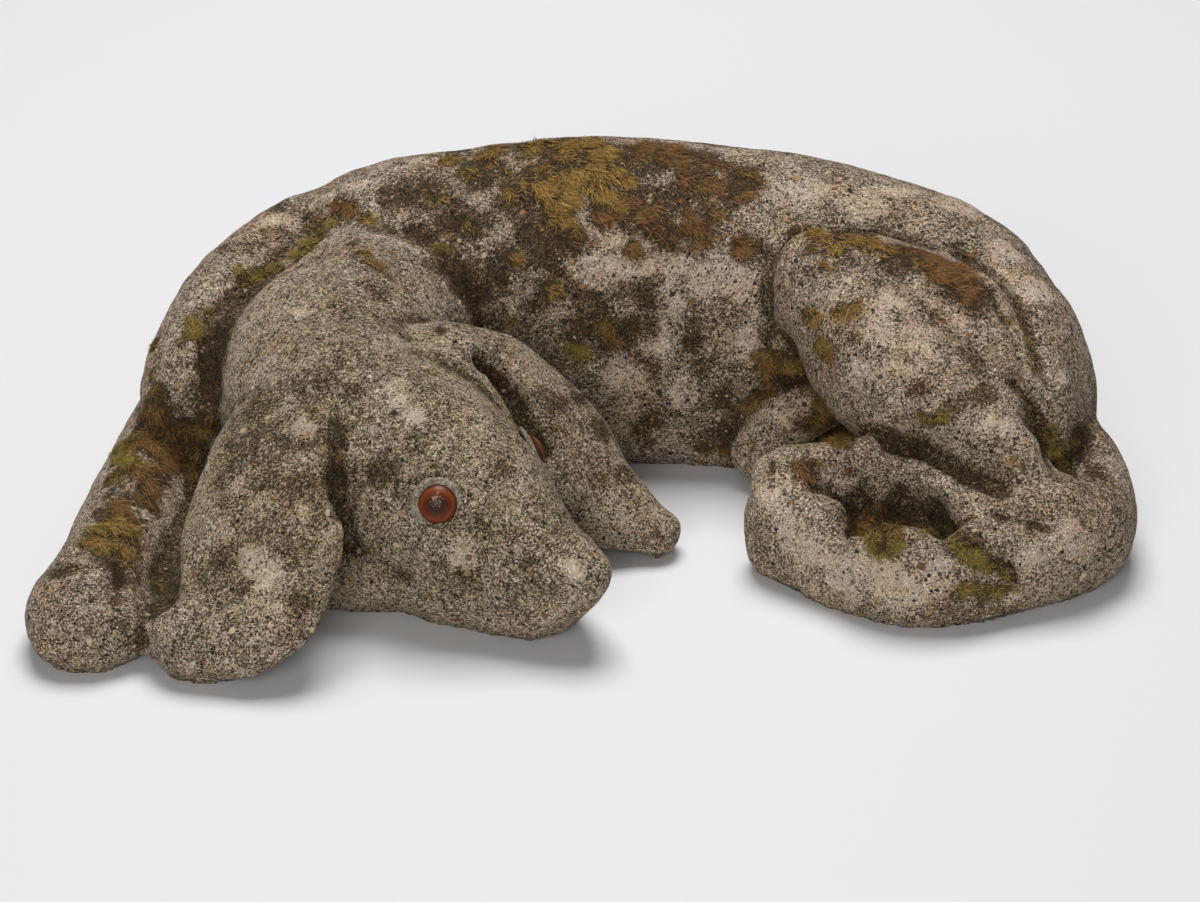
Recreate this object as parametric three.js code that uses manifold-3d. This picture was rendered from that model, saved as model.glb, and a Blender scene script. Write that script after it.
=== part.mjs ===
// Spaniel garden statue: a cast stone dog lying curled up, its head low over its forepaws and its tail
// brought round its hind feet, with two domed glass eyes set in sockets.
// Millimetres, +Z up. +X runs from the head end to the rump, +Y towards the spine.
// The origin is on the ground, under the middle of the statue's box.
import * as THREE from "three";
import { mergeVertices } from "three/addons/utils/BufferGeometryUtils.js";
import Module from "manifold-3d";

// Driving dimensions
const STATUE_LENGTH = 465; // from the forepaw's outer toe to the tail's outer bend
const EYE_DIAMETER = 16.5; // the glass eye's round edge
const EYE_DOME = 5; // how far its dome stands over that edge
const EYE_BACK = 4; // how deep its straight back is
const EYE_SINK = 1.2; // how far that edge lies under the skin of the head
const EYE_CLEARANCE = 0.4; // gap between the glass and the stone socket, on every side

// How finely the stone is faceted
const GRID_STEP = 3.4; // spacing of the points where the form is measured, in carving units
const STONE_TRIANGLES = 8550; // faces left after thinning the even mesh
const BASE_ROUNDING = 5; // soft edge where the flat underside meets the sides, in carving units
const BASE_TRIM = 0.3; // what is planed off the underside to make it truly flat, in carving units
const EYE_SIDES = 28; // sides of the glass eye's round edge and of its socket

// The carving is drawn in units of its own, near to millimetres, and then brought to the statue's length.
// The head's own frame: x along the muzzle, y to the dog's left, z up through the skull.
const HEAD = {
  at: [-84, -36, 56],
  yaw: -38, // degrees, the way it points on the ground
  pitch: 16, // degrees, nose down
  roll: 0,
};
// Where an eye's axis starts inside the skull, and the way it looks out, on the dog's left side
const EYE_AXIS = { from: [34.2, 12, 7], lift: 30, forward: 27 };

// The stone's form: limbs are chains of oval sections [x, y, z, half width, half height],
// joined with a soft fillet as wide as blend. Cuts are the same chains taken away. The torso comes
// first, so it joins nothing and has no fillet of its own.
const TORSO = {
  sections: [
    [-128, 118, 40, 46, 60],
    [-84, 124, 44, 60, 78],
    [0, 122, 46, 66, 86],
    [80, 112, 44, 64, 84],
    [142, 90, 40, 60, 79],
    [170, 50, 38, 48, 68],
    [175, 16, 34, 37, 50],
  ],
};
const SHOULDER = {
  blend: 6,
  sections: [
    [-132, 122, 60, 32, 47],
    [-156, 84, 58, 32, 44],
    [-171, 48, 52, 28, 38],
    [-173, 30, 52, 27, 30],
  ],
};
const FORELEG = {
  blend: 6,
  sections: [
    [-180, 72, 20, 26, 30],
    [-196, 0, 16, 23, 26],
    [-205, -60, 14, 21, 23],
    [-208, -94, 13, 27, 22],
    [-206, -107, 13, 25, 18],
  ],
};
const SECOND_PAW = {
  blend: 6,
  sections: [
    [-140, 40, 20, 30, 34],
    [-146, -60, 16, 28, 24],
    [-160, -114, 13, 24, 19],
  ],
};
const FORE_BASE = {
  blend: 8,
  sections: [
    [-170, 70, 0, 40, 22],
    [-174, -40, 0, 36, 18],
    [-178, -88, 0, 30, 14],
  ],
};
const CHEST = {
  blend: 12,
  sections: [
    [-120, 90, 40, 60, 54],
    [-126, 20, 34, 46, 42],
  ],
};
const THROAT = {
  blend: 8,
  sections: [
    [-118, -16, 12, 36, 24],
    [-104, -50, 8, 25, 18],
  ],
};
const NECK = {
  blend: 5,
  sections: [
    [-104, 80, 62, 52, 44],
    [-114, 40, 62, 50, 45],
    [-114, 6, 60, 48, 42],
    [-102, -22, 56, 42, 38],
  ],
};
const HIND_THIGH = {
  blend: 6,
  sections: [
    [91, 50, 103, 15, 18],
    [120, 44, 92, 26, 27],
    [152, 32, 75, 32, 34],
    [172, 8, 54, 30, 34],
  ],
};
const HIND_SHANK = {
  blend: 6,
  sections: [
    [92, 44, 94, 15, 22],
    [122, 16, 72, 28, 32],
    [158, -16, 50, 24, 27],
    [190, -44, 34, 14, 18],
  ],
};
const FLANK_FOLD = {
  blend: 5,
  sections: [
    [84, 72, 78, 10, 12],
    [88, 60, 66, 9, 12],
  ],
};
const HIND_FOOT = {
  blend: 4,
  sections: [
    [190, -54, 30, 15, 16],
    [162, -48, 35, 14, 17],
    [137, -35, 33, 12, 23],
    [114, -20, 30, 11, 26],
    [94, -20, 28, 14, 25],
    [78, -30, 22, 15, 23],
  ],
};
const HIND_TOES = {
  blend: 3,
  sections: [
    [72, -24, 40, 8, 9],
    [82, -20, 44, 9, 8],
    [94, -22, 43, 9, 9],
  ],
};
const TAIL = {
  blend: 5,
  sections: [
    [196, 36, 26, 18, 26],
    [211, -4, 22, 17, 26],
    [206, -38, 20, 18, 23],
    [174, -60, 18, 17, 22],
    [128, -74, 17, 13, 25],
    [96, -51, 17, 14, 24],
    [78, -32, 18, 17, 25],
  ],
};
const HIND_BASE = {
  blend: 6,
  sections: [
    [180, -20, 4, 40, 24],
    [104, -40, 4, 32, 24],
  ],
};
const OTHER_HIND_PAW = {
  blend: 3,
  sections: [
    [98, 43, 43, 12, 12],
    [82, 49, 31, 15, 15],
    [70, 49, 14, 12, 13],
  ],
};
const NEAR_EAR = {
  blend: 3,
  up: [-0.4, -0.5, 1],
  sections: [
    [-114, -30, 80, 30, 13],
    [-127.5, -54, 68, 35.5, 16],
    [-136, -84, 46, 38, 17],
    [-145, -104, 25, 39, 16],
    [-156, -116, 14, 29, 13],
  ],
};
const FAR_EAR = {
  blend: 6,
  up: [0.3, -0.35, 1],
  sections: [
    [-88, -8, 76, 18, 13],
    [-64, 3, 79, 23, 14],
    [-44, 4, 65, 33, 13],
    [-20, -1, 42, 33, 13],
    [3, -10, 19, 23, 12],
    [26, -18, 9, 12, 8.5],
  ],
};
const SKULL = {
  blend: 8,
  frame: HEAD,
  sections: [
    [-32, 0, -2, 42, 38],
    [6, 2, -4, 45, 43],
    [38, 2, -4, 36, 38],
  ],
};
const JAW = {
  blend: 12,
  frame: HEAD,
  sections: [
    [8, 0, -36, 46, 28],
    [40, 0, -30, 36, 22],
    [68, 0, -24, 28, 18.5],
    [84, -2, -20, 21, 15],
  ],
};
const MUZZLE = {
  blend: 10,
  frame: HEAD,
  sections: [
    [32, 0, -6, 34, 35],
    [62, 0, -7, 28, 29],
    [84, 0, -5, 22, 22],
    [94, 0, -1, 17, 16],
  ],
};
const NOSE = {
  blend: 5,
  frame: HEAD,
  sections: [
    [92, 0, 6, 12, 10],
    [103, 0, 7, 11, 9],
  ],
};
const RING_HOLLOW = {
  blend: 6,
  cut: true,
  sections: [
    [109, -58, 47, 14, 22],
    [122, -46, 47, 15, 22],
  ],
};
const NECK_CREASE = {
  blend: 6,
  cut: true,
  sections: [
    [-118, 80, 112, 4, 5],
    [-131, 57, 108, 4, 6],
    [-149, 54, 99, 4, 6],
    [-162, 41, 91, 4, 6],
    [-167, 22, 82, 4, 6],
    [-168, 4, 66, 5, 6],
  ],
};
const FORELEG_CAVITY = {
  blend: 6,
  cut: true,
  sections: [
    [-178, 0, 45, 8, 9],
    [-174, -32, 37, 6, 8],
    [-175, -62, 30, 5, 7],
    [-176, -108, 27, 5, 7],
  ],
};
const TOE_GROOVE = {
  blend: 6,
  cut: true,
  sections: [
    [-194, -88, 37, 5, 6],
    [-191, -112, 33, 5, 7],
    [-190, -130, 20, 5, 7],
  ],
};
const THIGH_CREASE = {
  blend: 8,
  cut: true,
  sections: [
    [156, 58, 116, 4, 5],
    [176, 34, 107, 4, 7],
    [184, 10, 94, 4, 7],
    [188, -10, 78, 4, 7],
    [193, -26, 62, 4, 7],
  ],
};
const HOCK_GROOVE = {
  blend: 8,
  cut: true,
  up: [0.2, -0.7, 0.7],
  sections: [
    [177, -17, 79, 5, 6],
    [183, -22, 69, 5, 6],
    [189, -23, 56, 5, 6],
    [191, -44, 56, 5, 6],
  ],
};
const SHANK_CREASE = {
  blend: 9,
  cut: true,
  up: [0.1, -0.6, 0.8],
  sections: [
    [123, -25, 58, 5, 6],
    [134, -31, 58, 5, 6],
    [144, -39, 56, 5, 6],
    [154, -48, 53, 5, 6],
    [166, -54, 51, 5, 6],
  ],
};
const TAIL_GROOVE = {
  blend: 8,
  cut: true,
  up: [0.1, -0.8, 0.6],
  sections: [
    [138, -46, 34, 5, 7],
    [143, -76, 42, 5, 7],
    [151, -81, 38, 5, 7],
    [160, -83, 32, 5, 7],
    [169, -82, 28, 5, 7],
  ],
};
const NEAR_EAR_CREASE = {
  blend: 9,
  cut: true,
  sections: [
    [-107, -66, 84, 5, 6],
    [-106.5, -74, 77, 5, 6],
    [-106, -80, 69, 5, 6],
    [-105, -86, 57, 5, 6],
    [-104, -92, 42, 5, 6],
    [-103, -95, 28, 5, 6],
  ],
};
const FAR_EAR_CREASE = {
  blend: 8,
  cut: true,
  sections: [
    [-51, 0, 81, 4, 6],
    [-45, 1, 75, 5, 8],
    [-38, -3, 69, 5, 9],
    [-30, -10, 61, 6, 9],
    [-24, -18, 52, 6, 9],
  ],
};
const LIMBS = [
  TORSO, SHOULDER, FORELEG, SECOND_PAW, FORE_BASE, CHEST, THROAT, NECK, HIND_THIGH, HIND_SHANK, FLANK_FOLD,
  HIND_BASE, HIND_FOOT, HIND_TOES, TAIL, OTHER_HIND_PAW, JAW, SKULL, MUZZLE, NOSE, NEAR_EAR, FAR_EAR,
  RING_HOLLOW, NECK_CREASE, FORELEG_CAVITY, TOE_GROOVE, THIGH_CREASE, HOCK_GROOVE, SHANK_CREASE,
  TAIL_GROOVE, NEAR_EAR_CREASE, FAR_EAR_CREASE,
];

const rad = THREE.MathUtils.degToRad;

// The matrix that takes the head's own frame to the statue's, in carving units.
function frameMatrix({ at, yaw, pitch, roll }) {
  const turn = new THREE.Matrix4().makeRotationFromEuler(new THREE.Euler(rad(roll), rad(pitch), rad(yaw), "ZYX"));
  return turn.setPosition(...at);
}

// A limb's sections on a smooth curve, SPAN_STEPS to a span, each with its place, its radii,
// and the side and up directions of its oval.
const SPAN_STEPS = 4;
function limbRings({ sections, frame, up = [0, 0, 1] }) {
  const place = frame ? frameMatrix(frame) : new THREE.Matrix4();
  const upward = new THREE.Vector3(...up).transformDirection(place);
  const centres = sections.map(([x, y, z]) => new THREE.Vector3(x, y, z).applyMatrix4(place));
  const curve = new THREE.CatmullRomCurve3(centres, false, "centripetal");
  const spans = sections.length - 1;
  const rings = [];
  for (let i = 0; i <= spans * SPAN_STEPS; i++) {
    const t = i / (spans * SPAN_STEPS);
    const at = curve.getPoint(t);
    const span = Math.min(Math.floor(t * spans), spans - 1);
    const share = THREE.MathUtils.smoothstep(t * spans - span, 0, 1);
    const [, , , wideA, highA] = sections[span];
    const [, , , wideB, highB] = sections[span + 1];
    const along = curve.getTangent(t);
    const side = new THREE.Vector3().crossVectors(upward, along).normalize();
    rings.push({
      x: at.x,
      y: at.y,
      z: at.z,
      sideX: side.x,
      sideY: side.y,
      sideZ: side.z,
      wide: wideA + (wideB - wideA) * share,
      high: highA + (highB - highA) * share,
    });
  }
  return rings;
}

// The signed distance from a point to a limb's skin, negative inside. Between two rings the point is
// measured against the oval at its own share of the way, and past the ends against a round cap.
function limbDistance(rings, x, y, z) {
  let nearest = Infinity;
  for (let i = 0; i + 1 < rings.length; i++) {
    const a = rings[i];
    const b = rings[i + 1];
    const toX = b.x - a.x;
    const toY = b.y - a.y;
    const toZ = b.z - a.z;
    const long = Math.sqrt(toX * toX + toY * toY + toZ * toZ);
    const share = ((x - a.x) * toX + (y - a.y) * toY + (z - a.z) * toZ) / (long * long);
    const t = share < 0 ? 0 : share > 1 ? 1 : share;
    const vx = x - a.x - t * toX;
    const vy = y - a.y - t * toY;
    const vz = z - a.z - t * toZ;
    const wide = a.wide + (b.wide - a.wide) * t;
    const high = a.high + (b.high - a.high) * t;
    const away = Math.sqrt(vx * vx + vy * vy + vz * vz);
    if (away - (wide > high ? wide : high) > nearest) continue;
    const e = (vx * toX + vy * toY + vz * toZ) / long;
    const sx = a.sideX + (b.sideX - a.sideX) * t;
    const sy = a.sideY + (b.sideY - a.sideY) * t;
    const sz = a.sideZ + (b.sideZ - a.sideZ) * t;
    const s = (vx * sx + vy * sy + vz * sz) / Math.sqrt(sx * sx + sy * sy + sz * sz);
    const u = Math.sqrt(Math.max(away * away - s * s - e * e, 0));
    const cap = wide < high ? wide : high;
    const qs = s / wide;
    const qu = u / high;
    const qe = e / cap;
    const k0 = Math.sqrt(qs * qs + qu * qu + qe * qe);
    const k1 = Math.sqrt((qs / wide) ** 2 + (qu / high) ** 2 + (qe / cap) ** 2);
    const d = k0 < 1e-6 ? -cap : (k0 * (k0 - 1)) / k1;
    if (d < nearest) nearest = d;
  }
  return nearest;
}

// The smaller of two distances, with a fillet where they are within blend of each other.
function softMin(a, b, blend) {
  if (blend === 0) return Math.min(a, b);
  const h = Math.max(blend - Math.abs(a - b), 0) / blend;
  return Math.min(a, b) - (h * h * blend) / 4;
}

// The form's signed distance on a grid, built up limb by limb; the flat underside comes last.
function measureForm() {
  const step = GRID_STEP;
  const whole = new THREE.Box3();
  for (const limb of LIMBS.filter((l) => !l.cut))
    for (const { x, y, z, wide, high: tall } of limbRings(limb)) {
      const ball = new THREE.Sphere(new THREE.Vector3(x, y, z), Math.max(wide, tall) + 2 * step);
      whole.union(ball.getBoundingBox(new THREE.Box3()));
    }
  const low = whole.min.setZ(-1.5 * step);
  const high = whole.max;
  const n = high.clone().sub(low).divideScalar(step).ceil().toArray().map((v) => v + 1);
  const field = new Float32Array(n[0] * n[1] * n[2]).fill(1e3);
  for (const limb of LIMBS) {
    const rings = limbRings(limb);
    const fillet = limb.blend ?? 0;
    const reach = Math.max(...rings.map((r) => Math.max(r.wide, r.high))) + fillet + step;
    const box = new THREE.Box3().setFromPoints(rings).expandByScalar(reach);
    const from = box.min.sub(low).divideScalar(step).floor().toArray().map((v) => Math.max(v, 0));
    const to = box.max.sub(low).divideScalar(step).ceil().toArray().map((v, i) => Math.min(v, n[i] - 1));
    for (let k = from[2]; k <= to[2]; k++)
      for (let j = from[1]; j <= to[1]; j++)
        for (let i = from[0]; i <= to[0]; i++) {
          const at = i + n[0] * (j + n[1] * k);
          const d = limbDistance(rings, low.x + i * step, low.y + j * step, low.z + k * step);
          field[at] = limb.cut ? -softMin(-field[at], d, fillet) : softMin(field[at], d, fillet);
        }
  }
  for (let k = 0; k < n[2]; k++)
    for (let j = 0; j < n[1]; j++)
      for (let i = 0; i < n[0]; i++) {
        const at = i + n[0] * (j + n[1] * k);
        field[at] = -softMin(-field[at], low.z + k * step, BASE_ROUNDING);
      }
  return { field, n, low, step };
}

// Marching tetrahedra: each grid cube is six tetrahedra round its long diagonal, and the surface
// crosses each of their edges where the distance along it is nothing. The result is always closed.
const CUBE_PATHS = [[1, 2, 4], [1, 4, 2], [2, 1, 4], [2, 4, 1], [4, 1, 2], [4, 2, 1]];
function closedSurface({ field, n, low, step }) {
  const offset = (c) => (c & 1) + n[0] * (((c >> 1) & 1) + n[1] * ((c >> 2) & 1));
  const points = [];
  const faces = [];
  const made = new Map();
  const crossing = (a, b) => {
    const [p, q] = a < b ? [a, b] : [b, a];
    const key = p * 4e6 + q;
    let id = made.get(key);
    if (id === undefined) {
      id = points.length / 3;
      made.set(key, id);
      const t = Math.min(Math.max(field[p] / (field[p] - field[q]), 0.02), 0.98);
      for (const [axis, stride, count] of [[0, 1, n[0]], [1, n[0], n[1]], [2, n[0] * n[1], n[2]]]) {
        const u = Math.floor(p / stride) % count;
        const v = Math.floor(q / stride) % count;
        points.push(low.getComponent(axis) + (u + (v - u) * t) * step);
      }
    }
    return id;
  };
  for (let k = 0; k + 1 < n[2]; k++)
    for (let j = 0; j + 1 < n[1]; j++)
      for (let i = 0; i + 1 < n[0]; i++) {
        const at = i + n[0] * (j + n[1] * k);
        let count = 0;
        for (let c = 0; c < 8; c++) if (field[at + offset(c)] < 0) count++;
        if (count === 0 || count === 8) continue;
        CUBE_PATHS.forEach(([a, b], path) => {
          const corners = [0, a, a | b, 7].map((c) => at + offset(c));
          const mirrored = path === 1 || path === 2 || path === 5;
          const inside = corners.filter((c) => field[c] < 0);
          const outside = corners.filter((c) => !(field[c] < 0));
          if (!inside.length || !outside.length) return;
          const order = [...inside, ...outside];
          let odd = mirrored;
          for (let u = 0; u < 4; u++)
            for (let v = u + 1; v < 4; v++)
              if (corners.indexOf(order[u]) > corners.indexOf(order[v])) odd = !odd;
          const [p, q, r, s] = order;
          const face = (x, y, z) => faces.push(...(odd ? [x, z, y] : [x, y, z]));
          if (inside.length === 1) face(crossing(p, q), crossing(p, r), crossing(p, s));
          if (inside.length === 3) face(crossing(p, s), crossing(q, s), crossing(r, s));
          if (inside.length === 2) {
            face(crossing(p, r), crossing(p, s), crossing(q, s));
            face(crossing(p, r), crossing(q, s), crossing(q, r));
          }
        });
      }
  return { points, faces };
}

// Thins an even mesh by joining the two ends of the edge that changes the form least, over and over
// (Garland and Heckbert's quadric error), and never where that would pinch or fold the surface.
function thin({ points, faces }, wanted) {
  const p = Float64Array.from(points);
  const tri = Int32Array.from(faces);
  const count = p.length / 3;
  const quadric = new Float64Array(count * 10);
  const around = Array.from({ length: count }, () => []);
  const changes = new Int32Array(count);
  const seen = new Int32Array(count);
  const q = new Float64Array(10);
  const to = [0, 0, 0];
  let look = 0;
  let left = tri.length / 3;

  // The normal of the triangle abc, as long as twice its area, with corner a at x, y, z.
  const normal = (x, y, z, b, c) => {
    const ux = p[b * 3] - x;
    const uy = p[b * 3 + 1] - y;
    const uz = p[b * 3 + 2] - z;
    const vx = p[c * 3] - x;
    const vy = p[c * 3 + 1] - y;
    const vz = p[c * 3 + 2] - z;
    return [uy * vz - uz * vy, uz * vx - ux * vz, ux * vy - uy * vx];
  };
  for (let f = 0; f < left; f++) {
    const a = tri[f * 3];
    const at = [p[a * 3], p[a * 3 + 1], p[a * 3 + 2]];
    const m = normal(...at, tri[f * 3 + 1], tri[f * 3 + 2]);
    const size = Math.hypot(...m) || 1;
    const [x, y, z] = m.map((v) => v / size);
    const w = -(x * at[0] + y * at[1] + z * at[2]);
    const plane = [x * x, x * y, x * z, x * w, y * y, y * z, y * w, z * z, z * w, w * w];
    for (let i = 0; i < 3; i++) {
      around[tri[f * 3 + i]].push(f);
      for (let j = 0; j < 10; j++) quadric[tri[f * 3 + i] * 10 + j] += plane[j] * size;
    }
  }

  // Puts the point that the edge ab would shrink to in "to", and gives what that would cost. A light
  // pull to the edge's middle keeps the point near by where the surface is flat.
  const cost = (a, b) => {
    for (let j = 0; j < 10; j++) q[j] = quadric[a * 10 + j] + quadric[b * 10 + j];
    const pull = 1e-3 * (q[0] + q[4] + q[7]);
    const mx = (p[a * 3] + p[b * 3]) / 2;
    const my = (p[a * 3 + 1] + p[b * 3 + 1]) / 2;
    const mz = (p[a * 3 + 2] + p[b * 3 + 2]) / 2;
    const [xx, yy, zz] = [q[0] + pull, q[4] + pull, q[7] + pull];
    const [rx, ry, rz] = [pull * mx - q[3], pull * my - q[6], pull * mz - q[8]];
    const cx = yy * zz - q[5] * q[5];
    const cy = q[2] * q[5] - q[1] * zz;
    const cz = q[1] * q[5] - q[2] * yy;
    const det = xx * cx + q[1] * cy + q[2] * cz;
    to[0] = (rx * cx + ry * cy + rz * cz) / det;
    to[1] = (rx * cy + ry * (xx * zz - q[2] * q[2]) + rz * (q[1] * q[2] - xx * q[5])) / det;
    to[2] = (rx * cz + ry * (q[1] * q[2] - xx * q[5]) + rz * (xx * yy - q[1] * q[1])) / det;
    const [x, y, z] = to;
    const error = x * (q[0] * x + 2 * (q[1] * y + q[2] * z + q[3])) +
      y * (q[4] * y + 2 * (q[5] * z + q[6])) + z * (q[7] * z + 2 * q[8]) + q[9];
    const stray = (x - mx) ** 2 + (y - my) ** 2 + (z - mz) ** 2;
    return Math.max(error, 0) + 1e-3 * pull * stray;
  };

  // A heap of edges, the cheapest on top; an edge is stale once either end has changed.
  const room = count * 16;
  const ends = new Int32Array(room * 4);
  const price = new Float64Array(room);
  const heap = new Int32Array(room);
  let offers = 0;
  let waiting = 0;
  const offer = (a, b) => {
    const id = offers++;
    ends.set([a, b, changes[a], changes[b]], id * 4);
    price[id] = cost(a, b);
    let i = waiting++;
    for (; i > 0 && price[heap[(i - 1) >> 1]] > price[id]; i = (i - 1) >> 1) heap[i] = heap[(i - 1) >> 1];
    heap[i] = id;
  };
  const take = () => {
    const top = heap[0];
    const id = heap[--waiting];
    let i = 0;
    for (let down = 1; down < waiting; down = 2 * i + 1) {
      if (down + 1 < waiting && price[heap[down + 1]] < price[heap[down]]) down++;
      if (price[heap[down]] >= price[id]) break;
      heap[i] = heap[down];
      i = down;
    }
    heap[i] = id;
    return top;
  };
  const neighbours = (v) => {
    const found = [];
    look++;
    seen[v] = look;
    for (const f of around[v])
      for (let i = f * 3; i < f * 3 + 3; i++)
        if (seen[tri[i]] !== look) {
          seen[tri[i]] = look;
          found.push(tri[i]);
        }
    return found;
  };
  const folds = (v, other) => {
    for (const f of around[v]) {
      const i = tri[f * 3] === v ? 0 : tri[f * 3 + 1] === v ? 1 : 2;
      const b = tri[f * 3 + ((i + 1) % 3)];
      const c = tri[f * 3 + ((i + 2) % 3)];
      if (b === other || c === other) continue;
      const was = normal(p[v * 3], p[v * 3 + 1], p[v * 3 + 2], b, c);
      const now = normal(to[0], to[1], to[2], b, c);
      const same = was[0] * now[0] + was[1] * now[1] + was[2] * now[2];
      if (same < 0.3 * Math.hypot(...was) * Math.hypot(...now)) return true;
    }
    return false;
  };
  for (let v = 0; v < count; v++) for (const w of neighbours(v)) if (v < w) offer(v, w);
  while (left > wanted && waiting) {
    const [a, b, wasA, wasB] = ends.subarray(take() * 4).subarray(0, 4);
    if (changes[a] !== wasA || changes[b] !== wasB) continue;
    const nearB = neighbours(b);
    const shared = neighbours(a).length && nearB.filter((v) => seen[v] === look && v !== a);
    cost(a, b);
    if (shared.length !== 2 || folds(a, b) || folds(b, a)) continue;
    p.set(to, a * 3);
    for (let j = 0; j < 10; j++) quadric[a * 10 + j] = q[j];
    for (const f of around[b]) {
      const corner = tri.subarray(f * 3, f * 3 + 3);
      if (corner.includes(a)) {
        left--;
        for (const v of corner) if (v !== b) around[v] = around[v].filter((g) => g !== f);
        corner.fill(-1);
      } else {
        corner[corner.indexOf(b)] = a;
        around[a].push(f);
      }
    }
    around[b] = [];
    changes[a]++;
    changes[b]++;
    if (offers + 40 < room) for (const v of neighbours(a)) offer(a, v);
  }
  return { points: p, faces: tri.filter((v) => v >= 0) };
}

// The form's distance at any point, between the eight grid points round it.
function distanceAt({ field, n, low, step }, point) {
  const at = point.clone().sub(low).divideScalar(step);
  const cell = at.clone().floor();
  const share = at.clone().sub(cell);
  let sum = 0;
  for (let c = 0; c < 8; c++) {
    const [i, j, k] = [c & 1, (c >> 1) & 1, c >> 2];
    const weight = (i ? share.x : 1 - share.x) * (j ? share.y : 1 - share.y) * (k ? share.z : 1 - share.z);
    sum += weight * field[cell.x + i + n[0] * (cell.y + j + n[1] * (cell.z + k))];
  }
  return sum;
}

// Where an eye's axis comes out of the skin, and the way it looks; side is 1 for the dog's left.
function eyePlace(form, side) {
  const place = frameMatrix(HEAD);
  const [x, y, z] = EYE_AXIS.from;
  const [lift, forward] = [rad(EYE_AXIS.lift), rad(EYE_AXIS.forward)];
  const at = new THREE.Vector3(x, side * y, z).applyMatrix4(place);
  const look = new THREE.Vector3(Math.sin(forward), side * Math.cos(lift), Math.sin(lift)).transformDirection(place);
  while (distanceAt(form, at) < 0) at.addScaledVector(look, 0.1);
  return { at, look };
}

const wasm = await Module();
wasm.setup();

// A closed geometry as a solid that can be joined and cut, and back.
function toSolid(geometry) {
  geometry.deleteAttribute("normal");
  geometry.deleteAttribute("uv");
  const merged = mergeVertices(geometry, 1e-4);
  return new wasm.Manifold(new wasm.Mesh({
    numProp: 3,
    vertProperties: merged.attributes.position.array,
    triVerts: new Uint32Array(merged.index.array),
  }));
}
function toGeometry(solid) {
  const { vertProperties, triVerts } = solid.getMesh();
  const geometry = new THREE.BufferGeometry();
  geometry.setAttribute("position", new THREE.BufferAttribute(vertProperties, 3));
  geometry.setIndex(new THREE.BufferAttribute(triVerts, 1));
  geometry.computeVertexNormals();
  return geometry;
}

// A glass eye about its own +Y: a flat straight-sided back, and a dome that is part of a sphere.
function eyeGeometry() {
  const radius = EYE_DIAMETER / 2;
  const ball = (radius * radius + EYE_DOME * EYE_DOME) / (2 * EYE_DOME);
  const profile = [new THREE.Vector2(0, -EYE_BACK), new THREE.Vector2(radius, -EYE_BACK)];
  const rings = 5;
  const sweep = Math.atan2(radius, ball - EYE_DOME);
  for (let i = 0; i < rings; i++) {
    const angle = sweep * (1 - i / rings);
    profile.push(new THREE.Vector2(ball * Math.sin(angle), ball * Math.cos(angle) - ball + EYE_DOME));
  }
  profile.push(new THREE.Vector2(0, EYE_DOME));
  return new THREE.LatheGeometry(profile, EYE_SIDES);
}

const form = measureForm();
const surface = thin(closedSurface(form), STONE_TRIANGLES);
const carved = new THREE.BufferGeometry();
carved.setAttribute("position", new THREE.Float32BufferAttribute(surface.points, 3));
carved.setIndex([...surface.faces]);
const used = new THREE.Box3();
for (const v of surface.faces) used.expandByPoint(new THREE.Vector3().fromArray(surface.points, v * 3));
const unit = STATUE_LENGTH / (used.max.x - used.min.x);
const origin = used.getCenter(new THREE.Vector3()).setZ(BASE_TRIM);
carved.translate(-origin.x, -origin.y, -origin.z).scale(unit, unit, unit);

const glass = new THREE.MeshStandardMaterial({ color: 0x6e2f14, roughness: 0.3, metalness: 0 });
const concrete = new THREE.MeshStandardMaterial({ color: 0x8a8272, roughness: 0.95, metalness: 0 });
const group = new THREE.Group();
let stone = toSolid(carved).trimByPlane([0, 0, 1], 0);
for (const [name, side] of [["right_glass_eye", -1], ["left_glass_eye", 1]]) {
  const { at, look } = eyePlace(form, side);
  const eye = new THREE.Mesh(eyeGeometry(), glass);
  eye.name = name;
  eye.position.copy(at).sub(origin).multiplyScalar(unit).addScaledVector(look, -EYE_SINK);
  eye.quaternion.setFromUnitVectors(new THREE.Vector3(0, 1, 0), look);
  eye.updateMatrix();
  group.add(eye);

  const depth = EYE_BACK + EYE_CLEARANCE;
  const reach = EYE_SINK + 3 * EYE_DOME;
  const bore = EYE_DIAMETER / 2 + EYE_CLEARANCE;
  const socket = new THREE.CylinderGeometry(bore, bore, depth + reach, EYE_SIDES);
  socket.translate(0, (reach - depth) / 2, 0).applyMatrix4(eye.matrix);
  stone = stone.subtract(toSolid(socket));
}
const dog = new THREE.Mesh(toGeometry(stone), concrete);
dog.name = "stone_dog";
group.add(dog);
export default group;
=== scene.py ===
# %% [markdown]
# # A weathered garden spaniel
# The real object is a dog of cast concrete that has stood outside for years: sand and small stones show
# in its skin, lichen and moss grow on it, and two glass eyes are set in its head. The solid form comes
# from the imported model, so this lesson is about its surface: a fine skin over the plain solid, moss made
# of real threads, and stone and glass materials made of nodes. The whole model is in metres.

# %% Load the solid model
import math

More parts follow.
